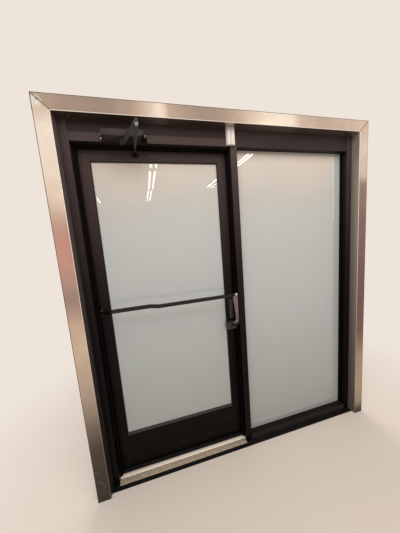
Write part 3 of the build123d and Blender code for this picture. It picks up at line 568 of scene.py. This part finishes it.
scuffed_steel = plain("steel_scuffed", "#857a71", "#a39a92", 0.5, metal=0.5)
print("materials so far:", len(bpy.data.materials))

# %% [markdown]
# Finishes that change along the piece
# The lever turns darker at its foot, and is painted darker at its top and its back, as shade, while its
# middle keeps the satin tone. The closer's underside never sees light, so it is painted near black there, as
# shade. The tread is painted darker towards the leaf, as shade under the door, and stays pale at its front
# edge. Each change runs between two places along an axis.

# %% Finishes that change along the piece


def changing(material, axis, start, end, code):
    """Turns a finish's colour into another between two places along one axis."""
    socket = material.node_tree.nodes["Principled BSDF"].inputs["Base Color"]
    before = socket.links[0].from_socket
    place = add(material, "TexCoord").outputs["Object"]
    along = add(material, "SeparateXYZ", inputs={"Vector": place}).outputs[axis]
    share = add(material, "MapRange", inputs={"Value": along, "From Min": start, "From Max": end})
    mixed = add(material, "Mix", {"data_type": "RGBA"},
                {"Factor": share.outputs[0], 6: before, 7: colour(code)})
    plug(material, mixed.outputs[2], socket)


lever_foot, shade_on_lever_top, shade_on_lever_back = (1.05, 0.985), (1.172, 1.18), (-0.036, -0.02)
shade_under_closer, shade_on_tread_back = (2.1353, 2.1345), (0.031, 0.052)
changing(lever_finish, "Z", *lever_foot, "#4d4142")
# Painted shade on the lever's top and back, under the closer, and on the tread towards the leaf.
changing(lever_finish, "Z", *shade_on_lever_top, "#26201f")
changing(lever_finish, "Y", *shade_on_lever_back, "#332c2c")
changing(closer_paint, "Z", *shade_under_closer, "#0f0d0c")
changing(mill, "Y", *shade_on_tread_back, "#9e8d82")
print("changing finishes:", lever_finish.name, closer_paint.name, mill.name)

# %% [markdown]
# Which part has which finish
# A table from finish to parts is easy to read and to change. The casing's three sheets have a finish
# each, as their bands differ.

# %% Finishes by part
finishes = {
    casing_left_steel: ["casing_left"],
    casing_right_steel: ["casing_right"],
    casing_head_steel: ["casing_head"],
    bronze_level: ["door_header", "top_rail", "bottom_rail", "bead_top"],
    bronze_filler_painted_shade: ["head_filler", "sidelite_header"],
    bronze_bead_painted_lit: ["bead_bottom"],
    bronze_sill_painted_lit: ["sidelite_sill"],
    bronze_recess_painted_shade: ["head_stop", "hinge_side_stop", "latch_side_stop"],
    bronze_upright: ["hinge_jamb", "mullion", "end_jamb", "hinge_stile", "latch_stile", "bead_hinge_side",
                     "bead_latch_side"],
    black_steel: ["base_plate", "bar_bracket", "lever_pin"],
    black_plastic: ["closer_shoe"],
    mill_scraped_painted_shade: ["threshold"],
    rubber: ["threshold_seal", "weather_seal", "sidelite_front_gasket", "sidelite_back_gasket",
             "door_front_gasket", "door_back_gasket", "bottom_sweep", "sidelite_setting_blocks",
             "door_setting_blocks"],
    door_glass_finish: ["door_glass"],
    sidelite_glass_finish: ["sidelite_glass"],
    duct: ["cable_raceway"],
    closer_paint: ["closer_body", "closer_pinion"],
    closer_arm_paint: ["closer_main_arm", "elbow_bolt", "forearm_tube", "forearm_rod"],
    screw_steel: ["closer_screws", "bar_end_cap"],
    dull_cap: ["shoe_screws", "bar_pivot_pin"],
    satin: ["strike_plate", "hinge_frame_leaves", "hinge_door_leaves", "hinge_pins", "latch_case",
            "latch_bolt", "pull_handle"],
    bar_finish: ["push_bar"],
    lever_finish: ["lever_arm"],
    plate_finish: ["latch_escutcheon"],
    housing_paint: ["latch_housing"],
}
print("finishes in use:", len(finishes), "for", len(nodes), "parts")

# %% [markdown]
# Putting the finishes on
# The imported solids keep their shapes. Only the material in their slots changes.

# %% Put the finishes on
for material, names in finishes.items():
    for name in names:
        nodes[name].data.materials.clear()
        nodes[name].data.materials.append(material)
left = set(nodes) - {name for names in finishes.values() for name in names}
print("parts without a finish:", sorted(left))

# %% [markdown]
# Selecting by hand
# Each new piece starts as a primitive at its place and is shaped in edit mode, as by hand. An operator
# acts on all that is selected, so these helpers select one piece and nothing else, pick its faces by
# where they are or point, and join what belongs together.

# %% Selecting


def only(piece):
    """Selects one piece and nothing else."""
    bpy.ops.object.select_all(action="DESELECT")
    piece.select_set(True)
    bpy.context.view_layer.objects.active = piece


def pick(piece, test):
    """In edit mode, selects the faces that pass a test on their centre and normal."""
    bpy.ops.mesh.select_mode(type="FACE")
    bpy.ops.mesh.select_all(action="DESELECT")
    sheet = bmesh.from_edit_mesh(piece.data)
    for face in sheet.faces:
        face.select_set(test(face.calc_center_median(), face.normal))
    bmesh.update_edit_mesh(piece.data)


def joined(pieces):
    """Joins pieces into the first of them."""
    only(pieces[0])
    for piece in pieces:
        piece.select_set(True)
    if len(pieces) > 1:
        bpy.ops.object.join()
    return pieces[0]


# %% [markdown]
# Handing a piece over
# A finished piece gives its place to its mesh, shades its shallow edges smooth and takes its finish. It then
# rides a body of the model, and may stand for the plain part.

# %% Handing over
smooth_below = math.radians(28)


def hand_over(piece, name, body, finish, stands_for=None):
    """Gives a piece its place, name, smoothing and finish, and says what it rides and stands for."""
    only(piece)
    bpy.ops.object.transform_apply(location=True, rotation=True, scale=True)
    bpy.ops.object.shade_smooth_by_angle(angle=smooth_below)
    piece.name = name
    piece.data.materials.clear()
    piece.data.materials.append(finish)
    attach(piece, body)
    if stands_for:
        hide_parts(stands_for)
    print(f"{name}: {len(piece.data.polygons)} faces, rides {body}")
    return piece


# %% [markdown]
# Soft edges for the hardware
# Cast, drawn and stamped parts have no knife edges: a radius of half a millimetre to three catches the
# light as a thin line. The plain part's mesh is copied, its loose triangles merged into clean faces, and
# a bevel rounds what is sharper than 40 degrees. The copy then stands for the part.

# %% Rounding helper
merge_within, flat_below, sharp_above = 0.000005, math.radians(0.5), math.radians(40)


def softened(name, radius_mm):
    """A copy of a CAD part with rounded edges, which stands for it."""
    node = nodes[name]
    piece = bpy.data.objects.new(name + "_rounded", node.data.copy())
    bpy.context.scene.collection.objects.link(piece)
    only(piece)
    bpy.ops.object.mode_set(mode="EDIT")
    bpy.ops.mesh.select_all(action="SELECT")
    bpy.ops.mesh.remove_doubles(threshold=merge_within)
    bpy.ops.mesh.dissolve_limited(angle_limit=flat_below)
    bpy.ops.object.mode_set(mode="OBJECT")
    rounding = piece.modifiers.new("rounding", "BEVEL")
    rounding.width, rounding.segments = radius_mm / 1000, 2
    rounding.limit_method, rounding.angle_limit = "ANGLE", sharp_above
    bpy.ops.object.modifier_apply(modifier=rounding.name)
    body = node.parent.name.split(":")[1]
    return hand_over(piece, name + "_rounded", body, node.data.materials[0], name)


# %% [markdown]
# How round each part is
# The bar is a drawn tube with the largest radius, cast housings come next, and stamped plates are nearly
# sharp. The table gives each edge radius in millimetres.

# %% Rounded hardware
edge_radii = {"closer_body": 1.8, "closer_main_arm": 1.2, "forearm_tube": 0.9, "closer_shoe": 1.2,
              "push_bar": 3.2, "lever_arm": 1.4, "latch_housing": 2.5, "latch_escutcheon": 1.2,
              "bar_bracket": 1.2, "cable_raceway": 0.8, "strike_plate": 0.4, "threshold": 0.8,
              "bar_end_cap": 0.8}
for name, radius_mm in edge_radii.items():
    softened(name, radius_mm)

# %% [markdown]
# Slabs
# Trim such as seams, ribs and lips is a thin slab with rounded edges: a cube at its size and place,
# bevelled. One that leans is made at the origin, then turned about the axis from front to back and moved
# to its place.

# %% Slab maker


def slab(low, high, round_mm=0.1, turn=None):
    """A block between two corners in millimetres with rounded edges, turned by a matrix if one is given."""
    low, high = Vector(low) / 1000, Vector(high) / 1000
    bpy.ops.object.select_all(action="DESELECT")
    bpy.ops.mesh.primitive_cube_add(size=1, location=(low + high) / 2, scale=high - low)
    piece = bpy.context.object
    bpy.ops.object.transform_apply(location=True, rotation=True, scale=True)
    bpy.ops.object.mode_set(mode="EDIT")
    bpy.ops.mesh.bevel(offset=round_mm / 1000, segments=2)
    bpy.ops.object.mode_set(mode="OBJECT")
    if turn:
        piece.data.transform(turn)
    return piece


def leaning(x, z, angle, y=0):
    """The turn of a slab about Y, and its move to a place in millimetres."""
    return Matrix.Translation((x / 1000, y / 1000, z / 1000)) @ Matrix.Rotation(angle, 4, "Y")


# %% [markdown]
# Screws
# A screw is a short cylinder whose rim is bevelled and whose face is inset and pushed in, which gives the
# socket. It is made once, facing up, and each copy is turned and moved to its hole.

# %% Screw maker
screw_sides = 20
rim_share, socket_share, sunk_share = 0.4, 0.35, 0.4


def screws(name, body, finish, radius_mm, height_mm, places_mm, facing):
    """Socket-head screws at places in millimetres, all facing one way, as one piece."""
    radius, height = radius_mm / 1000, height_mm / 1000
    bpy.ops.object.select_all(action="DESELECT")
    bpy.ops.mesh.primitive_cylinder_add(vertices=screw_sides, radius=radius, depth=height,
                                        location=(0, 0, height / 2))
    first = bpy.context.object
    bpy.ops.object.transform_apply(location=True, rotation=True, scale=True)
    bpy.ops.object.mode_set(mode="EDIT")
    pick(first, lambda centre, normal: normal.z > 0.9)
    bpy.ops.mesh.bevel(offset=height * rim_share, segments=2)
    pick(first, lambda centre, normal: normal.z > 0.99)
    bpy.ops.mesh.inset(thickness=radius * socket_share)
    bpy.ops.mesh.extrude_region_move(TRANSFORM_OT_translate={"value": (0, 0, -height * sunk_share)})
    bpy.ops.object.mode_set(mode="OBJECT")
    turned = Vector(facing).to_track_quat("Z", "Y").to_matrix().to_4x4()
    copies = []
    for place in places_mm:
        twin = bpy.data.objects.new(name, first.data.copy())
        bpy.context.scene.collection.objects.link(twin)
        twin.data.transform(Matrix.Translation(Vector(place) / 1000) @ turned)
        copies.append(twin)
    bpy.data.objects.remove(first)
    return hand_over(joined(copies), name, body, finish)


# %% [markdown]
# Latch housing
# The housing's cast cover closes it at the front and both ends, and leaves the top open where the lever
# comes out. A dark boot fills that opening and moves with the lever.

# %% Housing cover and boot
cover = [slab((-92, 38.4, 906), (-75.5, 69.7, 956), 1.4), slab((-38, 38.4, 906), (-19, 69.7, 950.5), 1.4),
         slab((-77, 38.4, 906), (-36, 41.4, 918), 0.8)]
hand_over(joined(cover), "housing_cover", "door", housing_paint)
boot = slab((-73.6, 38.6, 919.6), (-39.9, 58, 955.6), 1.2)
hand_over(boot, "lever_boot", "lever", housing_paint)

# %% [markdown]
# The lever's lip
# A bright lip curves up beside the lever's foot and moves with it: a painted highlight where the foot's
# curve catches the light. Its curve is part of a circle, laid as a row of short rounded bars, each turned a
# little further.

# %% Lever lip
curl_x, curl_y, curl_z, curl_radius = -76, -54, 1021, 24
lip_bars, first_angle, angle_step = 5, 6, 15
lip = []
for step in range(lip_bars):
    angle = math.radians(first_angle + angle_step * step)
    x, z = curl_x + curl_radius * math.sin(angle), curl_z - curl_radius * math.cos(angle)
    turn = leaning(x, z, -angle, curl_y)
    lip.append(slab((-4.2, -1.2, -1.4), (4.2, 1.2, 1.4), 0.9, turn))
hand_over(joined(lip), "lever_lip", "lever", painted_highlight_steel)

# %% [markdown]
# Mitre seams
# The casing's three sheets meet in mitres, which show as dark hairlines. Each is a thin slab that leans
# 45 degrees through the middle of its corner, as long as the mitre but for a little at each end.

# %% Mitre seams
casing_face, seam_short = 76.2, 1.7
corner_x, corner_z = 1004.975, 2278.15
mitre_half = casing_face / math.sqrt(2) - seam_short
seams = []
for side in (-1, 1):
    turn = leaning(side * corner_x, corner_z, side * math.radians(45))
    seams.append(slab((-1.6, -60.3, -mitre_half), (1.6, -59.5, mitre_half), 0.1, turn))
hand_over(joined(seams), "casing_mitre_seams", "frame", dark_seams_and_shadow_lines)

# %% [markdown]
# Sealant and caps
# A bead of dark sealant closes the corner between sheet and frame all round, and makes way for the duct.
# Under the head, the fixings that hold the sheet are covered by small domed caps.

# %% Sealant and caps
beads = [slab((-966.9, -2.5, 3), (-964.2, 0.2, 2240), 0.8),
         slab((964.2, -2.5, 3), (966.9, 0.2, 2240), 0.8),
         slab((-964.2, 0.2, 2237.4), (-35.8, 3.2, 2240.1), 0.8),
         slab((24.6, 0.2, 2237.4), (964.2, 3.2, 2240.1), 0.8)]
hand_over(joined(beads), "casing_sealant", "frame", dark_seams_and_shadow_lines)

cap_places = [(x, -13, 2240.1) for x in (-903.6, -468.6, -420.6, 153.4, 279.4, 556.4, 784.4)]
screws("soffit_caps", "frame", dull_cap, 7.0, 2.4, cap_places, (0, 0, -1))

# %% [markdown]
# Closer details
# The closer's body has cast ends that close it like lids, a dark end cap with two small screws, and two
# valve screws on its other end that set its speed.

# %% Closer trim
lids = [slab((x - 0.5, -58.2, 2137.8), (x + 0.5, -0.2, 2175.2), 0.15) for x in (-743.0, -548.2)]
hand_over(joined(lids), "closer_end_seams", "frame", dark_seams_and_shadow_lines)
end_cap = slab((-552, -58.6, 2133.7), (-521.2, -0.3, 2149), 2.0)
hand_over(end_cap, "closer_end_cap", "frame", black_plastic)
screws("closer_end_screws", "frame", screw_steel, 2.2, 1.0,
       [(-529, -58.6, 2137), (-529, -58.6, 2144)], (0, -1, 0))
screws("closer_valves", "frame", screw_steel, 2.6, 1.6,
       [(-756.6, -40, 2145), (-756.6, -40, 2157)], (-1, 0, 0))
screws("closer_cap_screws", "frame", black_screw, 2.6, 0.8,
       [(-749.5, -58, 2144), (-749.5, -58, 2168)], (0, -1, 0))

# %% [markdown]
# The elbow and the forearm
# At the elbow the two arms turn on a bright bolt with a nut below. The forearm ends there in a round eye.
# It is a flat tube with an open side, in which its rod slides. The open slot is a dark strip of painted
# shade, laid along the line from the elbow to the shoe's pivot.

# %% Elbow and forearm
elbow, shoe_pivot = (-564.625, -240), (-596.625, 52)
screws("elbow_nut", "closer_arm", worn_nut, 7.9, 10.0, [(*elbow, 2099)], (0, 0, -1))
screws("forearm_eye", "forearm", pale_arm_grey, 11.5, 6.6,
       [(-564.97, -236.4, 2105.4)], (0, 0, -1))
along_arm = math.atan2(shoe_pivot[1] - elbow[1], shoe_pivot[0] - elbow[0])
turn = Matrix.Translation((elbow[0] / 1000, elbow[1] / 1000, 0)) @ Matrix.Rotation(along_arm, 4, "Z")
# The slot's painted shade.
slot_shade_strip = slab((60, -2.6, 2098.75), (168, 2.6, 2099.3), 0.1, turn)
hand_over(slot_shade_strip, "forearm_slot", "forearm", dark_seams_and_shadow_lines)
print("the forearm points", round(math.degrees(along_arm), 1), "degrees round from X")

# %% [markdown]
# Hairline joints of the leaf
# The leaf's stiles and rails are cut and screwed together at square corners, and each joint shows as a
# hairline. They are thin dark slivers that stand a tenth of a millimetre proud, front and back.

# %% Leaf joints
half_line = 0.35
stile_edges, rail_spans = (-866.75, -66.7), ((12.7, 266.7), (2073.4, 2130.4))
leaf_joints = []
for x in stile_edges:
    for low, high in rail_spans:
        leaf_joints.append(slab((x - half_line, 69.72, low), (x + half_line, 70.3, high), 0.05))
        leaf_joints.append(slab((x - half_line, 113.9, low), (x + half_line, 114.42, high), 0.05))
hand_over(joined(leaf_joints), "leaf_joints", "door", dark_seams_and_shadow_lines)

# %% [markdown]
# Hairline joints of the frame
# Headers meet the uprights at four places, and the sidelite's sill at two of them. The same slivers show
# these joints.

# %% Frame joints
door_side, sidelite_side = (-923.925, -9.525), (34.925, 923.925)
header_span, sill_span = (2133.6, 2178), (3, 47.4)
frame_joints = []
for y_low, y_high in ((-0.13, 0.4), (113.9, 114.43)):
    for x in door_side:
        low, high = header_span
        frame_joints.append(slab((x - half_line, y_low, low), (x + half_line, y_high, high), 0.05))
    for x in sidelite_side:
        for low, high in (header_span, sill_span):
            frame_joints.append(slab((x - half_line, y_low, low), (x + half_line, y_high, high), 0.05))
hand_over(joined(frame_joints), "frame_joints", "frame", dark_seams_and_shadow_lines)

# %% [markdown]
# Glazing lips
# The rubber that holds the door's pane shows as a black line along the beads' inner edges, which also stands
# for the painted shade where the beads meet the glass. It is laid as three thin strips, three to four
# millimetres wide; the bottom bead has none in sight.

# %% Glazing lips
# Black rubber lines that also carry the painted shade at the beads' edges.
lips = [slab((-850.9, 71.0, 2056.2), (-82.6, 71.7, 2060.4), 0.2),
        slab((-852.8, 71.0, 282.6), (-849.6, 71.7, 2060), 0.2),
        slab((-83.9, 71.0, 282.6), (-80.6, 71.7, 2060), 0.2)]
hand_over(joined(lips), "door_glazing_lips", "door", rubber)

# %% [markdown]
# Sidelite stop and film edges
# A dark glazing stop covers the sidelite's edge at the end jamb. Beside it the etched film has been cut
# short. The film's two upright edges carry a painted highlight near the head.

# %% Sidelite stop and film edges
stop = slab((908, 34, 49.5), (922.8, 44.0, 2131.5), 0.6)
hand_over(stop, "sidelite_end_stop", "frame", black_plastic)
# Painted highlights on the film's two upright edges, near the head.
edges = [slab((850, 44.15, 1640), (854, 44.6, 2131), 0.1),
         slab((36.6, 44.15, 1300), (40.6, 44.6, 2131), 0.1)]
hand_over(joined(edges), "sidelite_film_edge", "frame", film_edge)

# %% [markdown]
# The lifted hem
# Along the foot the film's hem has lifted in a shallow curve, which shows as a paler band. Its curve is
# given by points, and a short strip leans from each point to the next, a little longer than the gap.

# %% Film hem
hem_points = ((40, 101), (110, 98), (300, 92), (480, 89), (611, 89), (700, 94), (790, 105), (852, 119))
half_wide, lap = 6, 0.6
hem = []
for (x_from, z_from), (x_to, z_to) in zip(hem_points, hem_points[1:]):
    lean = math.atan2(z_to - z_from, x_to - x_from)
    turn = leaning((x_from + x_to) / 2, (z_from + z_to) / 2, -lean)
    reach = (x_to - x_from) / math.cos(lean) / 2 + lap
    hem.append(slab((-reach, 44.2, -half_wide), (reach, 44.6, half_wide), 0.1, turn))
hand_over(joined(hem), "sidelite_film_hem", "frame", film_hem)

# %% [markdown]
# Hinge screws
# Every plate is held by screws with sunk heads. Four hold each hinge leaf, set in a zigzag as is usual.
# Both leaves of a hinge have theirs at the same heights.

# %% Hinge screws
hinge_middles = (323.85, 1135.05, 1946.25)
zigzag = ((86, -44), (104, -16), (86, 16), (104, 44))
rows = [(y, middle + step) for middle in hinge_middles for y, step in zigzag]
screws("hinge_frame_screws", "frame", screw_steel, 4.6, 0.6,
       [(-923.95, y, z) for y, z in rows], (1, 0, 0))
screws("hinge_door_screws", "door", screw_steel, 4.6, 0.6,
       [(-920.7, y, z) for y, z in rows], (-1, 0, 0))

# %% [markdown]
# Screws of the strike, the latch and the lever's plate
# Each of these small plates has two screws, one near each end.

# %% Plate screws
screws("strike_screws", "frame", screw_steel, 4.2, 0.5,
       [(-9.5, 92, 886), (-9.5, 92, 976)], (-1, 0, 0))
screws("latch_case_screws", "door", screw_steel, 4.0, 0.5,
       [(-12.7, 92, 860), (-12.7, 92, 1002)], (1, 0, 0))
screws("escutcheon_screws", "door", black_screw, 2.8, 1.0,
       [(-42.6, 63.9, 987), (-42.6, 63.9, 1113)], (0, -1, 0))

# %% [markdown]
# Threshold
# The sloping front edge takes the scraping and is a dull tan, also painted darker than the tread as shade on
# a face turned from the light above, while the tread stays pale. The tread is ribbed so that shoes don't
# slip: thin raised bars run along its length.

# %% Threshold tread
rib_places, rib_half = (23.5, 30.5, 37.5, 44.0), 0.9
tread = [slab((-923.5, 19.3, 14.8), (-10, 46.6, 15.1), 0.1)]
tread += [slab((-920, y - rib_half, 14.9), (-13, y + rib_half, 15.6), 0.3) for y in rib_places]
hand_over(joined(tread), "threshold_tread", "frame", mill)

# %% [markdown]
# Scuffs on the bottom rail
# Feet and trolleys leave pale marks on the bottom rail. Each is a sliver a tenth of a millimetre proud.
# The rows give its place, its length in millimetres and how many degrees it leans.

# %% Rail scuffs
scuff_rows = ((-479, 95, 26, 12), (-462, 101, 12, 40), (-277, 93, 34, -6), (-124, 174, 14, 62))
scuffs = []
for x, z, length, lean in scuff_rows:
    turn = leaning(x, z, math.radians(lean))
    scuffs.append(slab((-length / 2, 69.74, -0.7), (length / 2, 70, 0.7), 0.05, turn))
hand_over(joined(scuffs), "rail_scuffs", "door", scuffed)

# %% [markdown]
# The casing's bent edge and scratches
# The bent edge near the casing's upper corner is a thin dark lip, and its dents are painted reflections in
# the sheet's finish. The foot of the same sheet is scratched, and the scratches are slivers as the scuffs
# are.

# %% Bent edge and scratches
lip = slab((-1043.0, -60.4, 2232), (-1040.4, -59.5, 2302), 0.2)
hand_over(lip, "casing_bent_lip", "frame", dark_seams_and_shadow_lines)
scratch_rows = ((-1012, 138, 34, 35), (-996, 112, 44, 68), (-1022, 205, 30, 20), (-990, 262, 26, 80))
scratches = []
for x, z, length, lean in scratch_rows:
    turn = leaning(x, z, math.radians(lean))
    scratches.append(slab((-length / 2, -60.12, -0.6), (length / 2, -59.8, 0.6), 0.05, turn))
hand_over(joined(scratches), "casing_scratches", "frame", scuffed_steel)

# %% [markdown]
# Duct
# The duct has a channel each side of its middle rib. A fine shadow line runs down each side of the rib.

# %% Duct lines
lines = [slab((x - 0.5, -17.3, 2140), (x + 0.5, -16.8, 2239.5), 0.05) for x in (-9.4, -1.8)]
hand_over(joined(lines), "duct_lines", "frame", dark_seams_and_shadow_lines)

# %% [markdown]
# The floor
# A pale floor under the door fades into an even background, so there is no horizon line. It is a disc
# whose finish turns clear with the distance from its middle, and it lies a millimetre low so that nothing
# flickers.

# %% Floor
backdrop_code, floor_code = "#efe4da", "#ddd0c4"
floor_radius, floor_drop = 5, 0.001
fade_from, fade_to = 0.7, 2.6
bpy.ops.mesh.primitive_circle_add(vertices=96, radius=floor_radius, fill_type="TRIFAN",
                                  location=(0, 0, -floor_drop))
floor = bpy.context.object
floor.name = "floor"
floor_material, shader, place = new_material("floor_pale", Roughness=0.8, Specular_IOR_Level=0.2)
shader.inputs["Base Color"].default_value = colour(floor_code)
distance = add(floor_material, "VectorMath", {"operation": "LENGTH"}, {0: place}).outputs["Value"]
fade = add(floor_material, "MapRange", {"interpolation_type": "SMOOTHSTEP"},
           {"Value": distance, "From Min": fade_from, "From Max": fade_to}).outputs[0]
clear = add(floor_material, "BsdfTransparent")
mixed = add(floor_material, "MixShader", inputs={0: fade, 1: shader.outputs[0], 2: clear.outputs[0]})
plug(floor_material, mixed.outputs[0], floor_material.node_tree.nodes["Material Output"].inputs["Surface"])
floor.data.materials.append(floor_material)
print("floor:", floor_radius * 2, "m across")

# %% [markdown]
# Soft light
# One wide softbox hangs over the front, and a smaller one fills from behind. They light the pieces but
# are hidden from mirrors, so that the glass doesn't show them as white squares.

# %% Softboxes


def softbox(name, place, aim, size, power, glossy=False):
    """A rectangular lamp that faces a point. Unless glossy, it lights pieces but isn't mirrored in them."""
    lamp = bpy.data.lights.new(name, "AREA")
    lamp.shape, lamp.size, lamp.size_y = "RECTANGLE", size[0], size[1]
    lamp.energy, lamp.color = power, colour("#fffdfb")[:3]
    holder = bpy.data.objects.new(name, lamp)
    bpy.context.scene.collection.objects.link(holder)
    holder.location = place
    holder.rotation_euler = (Vector(aim) - Vector(place)).to_track_quat("-Z", "Y").to_euler()
    holder.visible_glossy = glossy
    return holder


softbox("top_front", (-0.2, -1.7, 3.5), (0, -0.1, 1.3), (3.4, 1.9), 72)
softbox("back_fill", (0.4, 2.6, 3.2), (0, 0.1, 1.1), (2.6, 2.0), 50)

# %% [markdown]
# Strip lamps
# The panes show narrow gleams in pairs. Thin strip lamps overhead give them, and these are seen by
# mirrors. A strip's power goes with its area, so one glow is written for all, however long each is.

# %% Strip maker
straight_down = Vector((0, 0, -1))


def strip(name, start, end, width, glow):
    """A thin strip lamp between two points that shines down, with one glow however long it is."""
    start, end = Vector(start), Vector(end)
    length, middle = (end - start).length, (start + end) / 2
    lamp = softbox(name, middle, middle + straight_down, (width, length), glow * math.pi * width * length,
                   glossy=True)
    lamp.rotation_euler = (0, 0, math.atan2(end.y - start.y, end.x - start.x) - math.pi / 2)
    return lamp


# %% [markdown]
# Where the strips hang
# Each strip is a pair of ends in X and Y, in metres, and Y is below zero in front of the door. The near
# ones give the broken twin lines in the door's pane. The far ones, thinner and brighter, give the short
# gleams in the sidelite and at the hinge side of the door's pane.

# %% Strips
strip_height = 2.7
near_wide, near_glow, far_wide, far_glow = 0.036, 13, 0.018, 42
near_row = (((-0.454, -1.40), (-0.467, -1.68)), ((-0.476, -1.80), (-0.516, -2.74)),
            ((-0.528, -2.86), (-0.581, -3.78)), ((-0.384, -1.40), (-0.392, -1.68)),
            ((-0.401, -1.80), (-0.449, -2.74)), ((-0.468, -2.86), (-0.520, -3.78)))
far_row = (((0.852, -1.17), (0.810, -1.57)), ((0.912, -1.17), (0.869, -1.70)),
           ((0.728, -2.15), (0.694, -2.65)), ((0.807, -2.32), (0.789, -2.72)),
           ((-1.614, -3.0), (-1.675, -3.82)), ((-1.711, -3.35), (-1.762, -3.86)))
for number, (start, end) in enumerate(near_row):
    strip(f"strip_near_{number}", (*start, strip_height), (*end, strip_height), near_wide, near_glow)
for number, (start, end) in enumerate(far_row):
    strip(f"strip_far_{number}", (*start, strip_height), (*end, strip_height), far_wide, far_glow)
print("lamps:", len(bpy.data.lights))

# %% [markdown]
# The world
# The world fills the shadows with a dim, even light. The camera and mirrors see the pale background in
# its place, so metal and glass show what the camera sees.

# %% World
fill_code, fill_strength = "#f3efeb", 0.58
scene = bpy.context.scene
world = bpy.data.worlds.new("world")
scene.world = world
world.use_nodes = True
sky = world.node_tree
fill = sky.nodes["Background"]
fill.inputs["Color"].default_value = colour(fill_code)
fill.inputs["Strength"].default_value = fill_strength
seen = add(world, "Background", inputs={"Color": colour(backdrop_code), "Strength": 1.0})
rays = add(world, "LightPath").outputs
either = add(world, "Math", {"operation": "MAXIMUM"}, {0: rays["Is Camera Ray"], 1: rays["Is Glossy Ray"]})
choose = add(world, "MixShader", inputs={0: either.outputs[0], 1: fill.outputs[0], 2: seen.outputs[0]})
plug(world, choose.outputs[0], sky.nodes["World Output"].inputs["Surface"])
scene.view_settings.view_transform = "Standard"
print("world fill:", fill_strength)
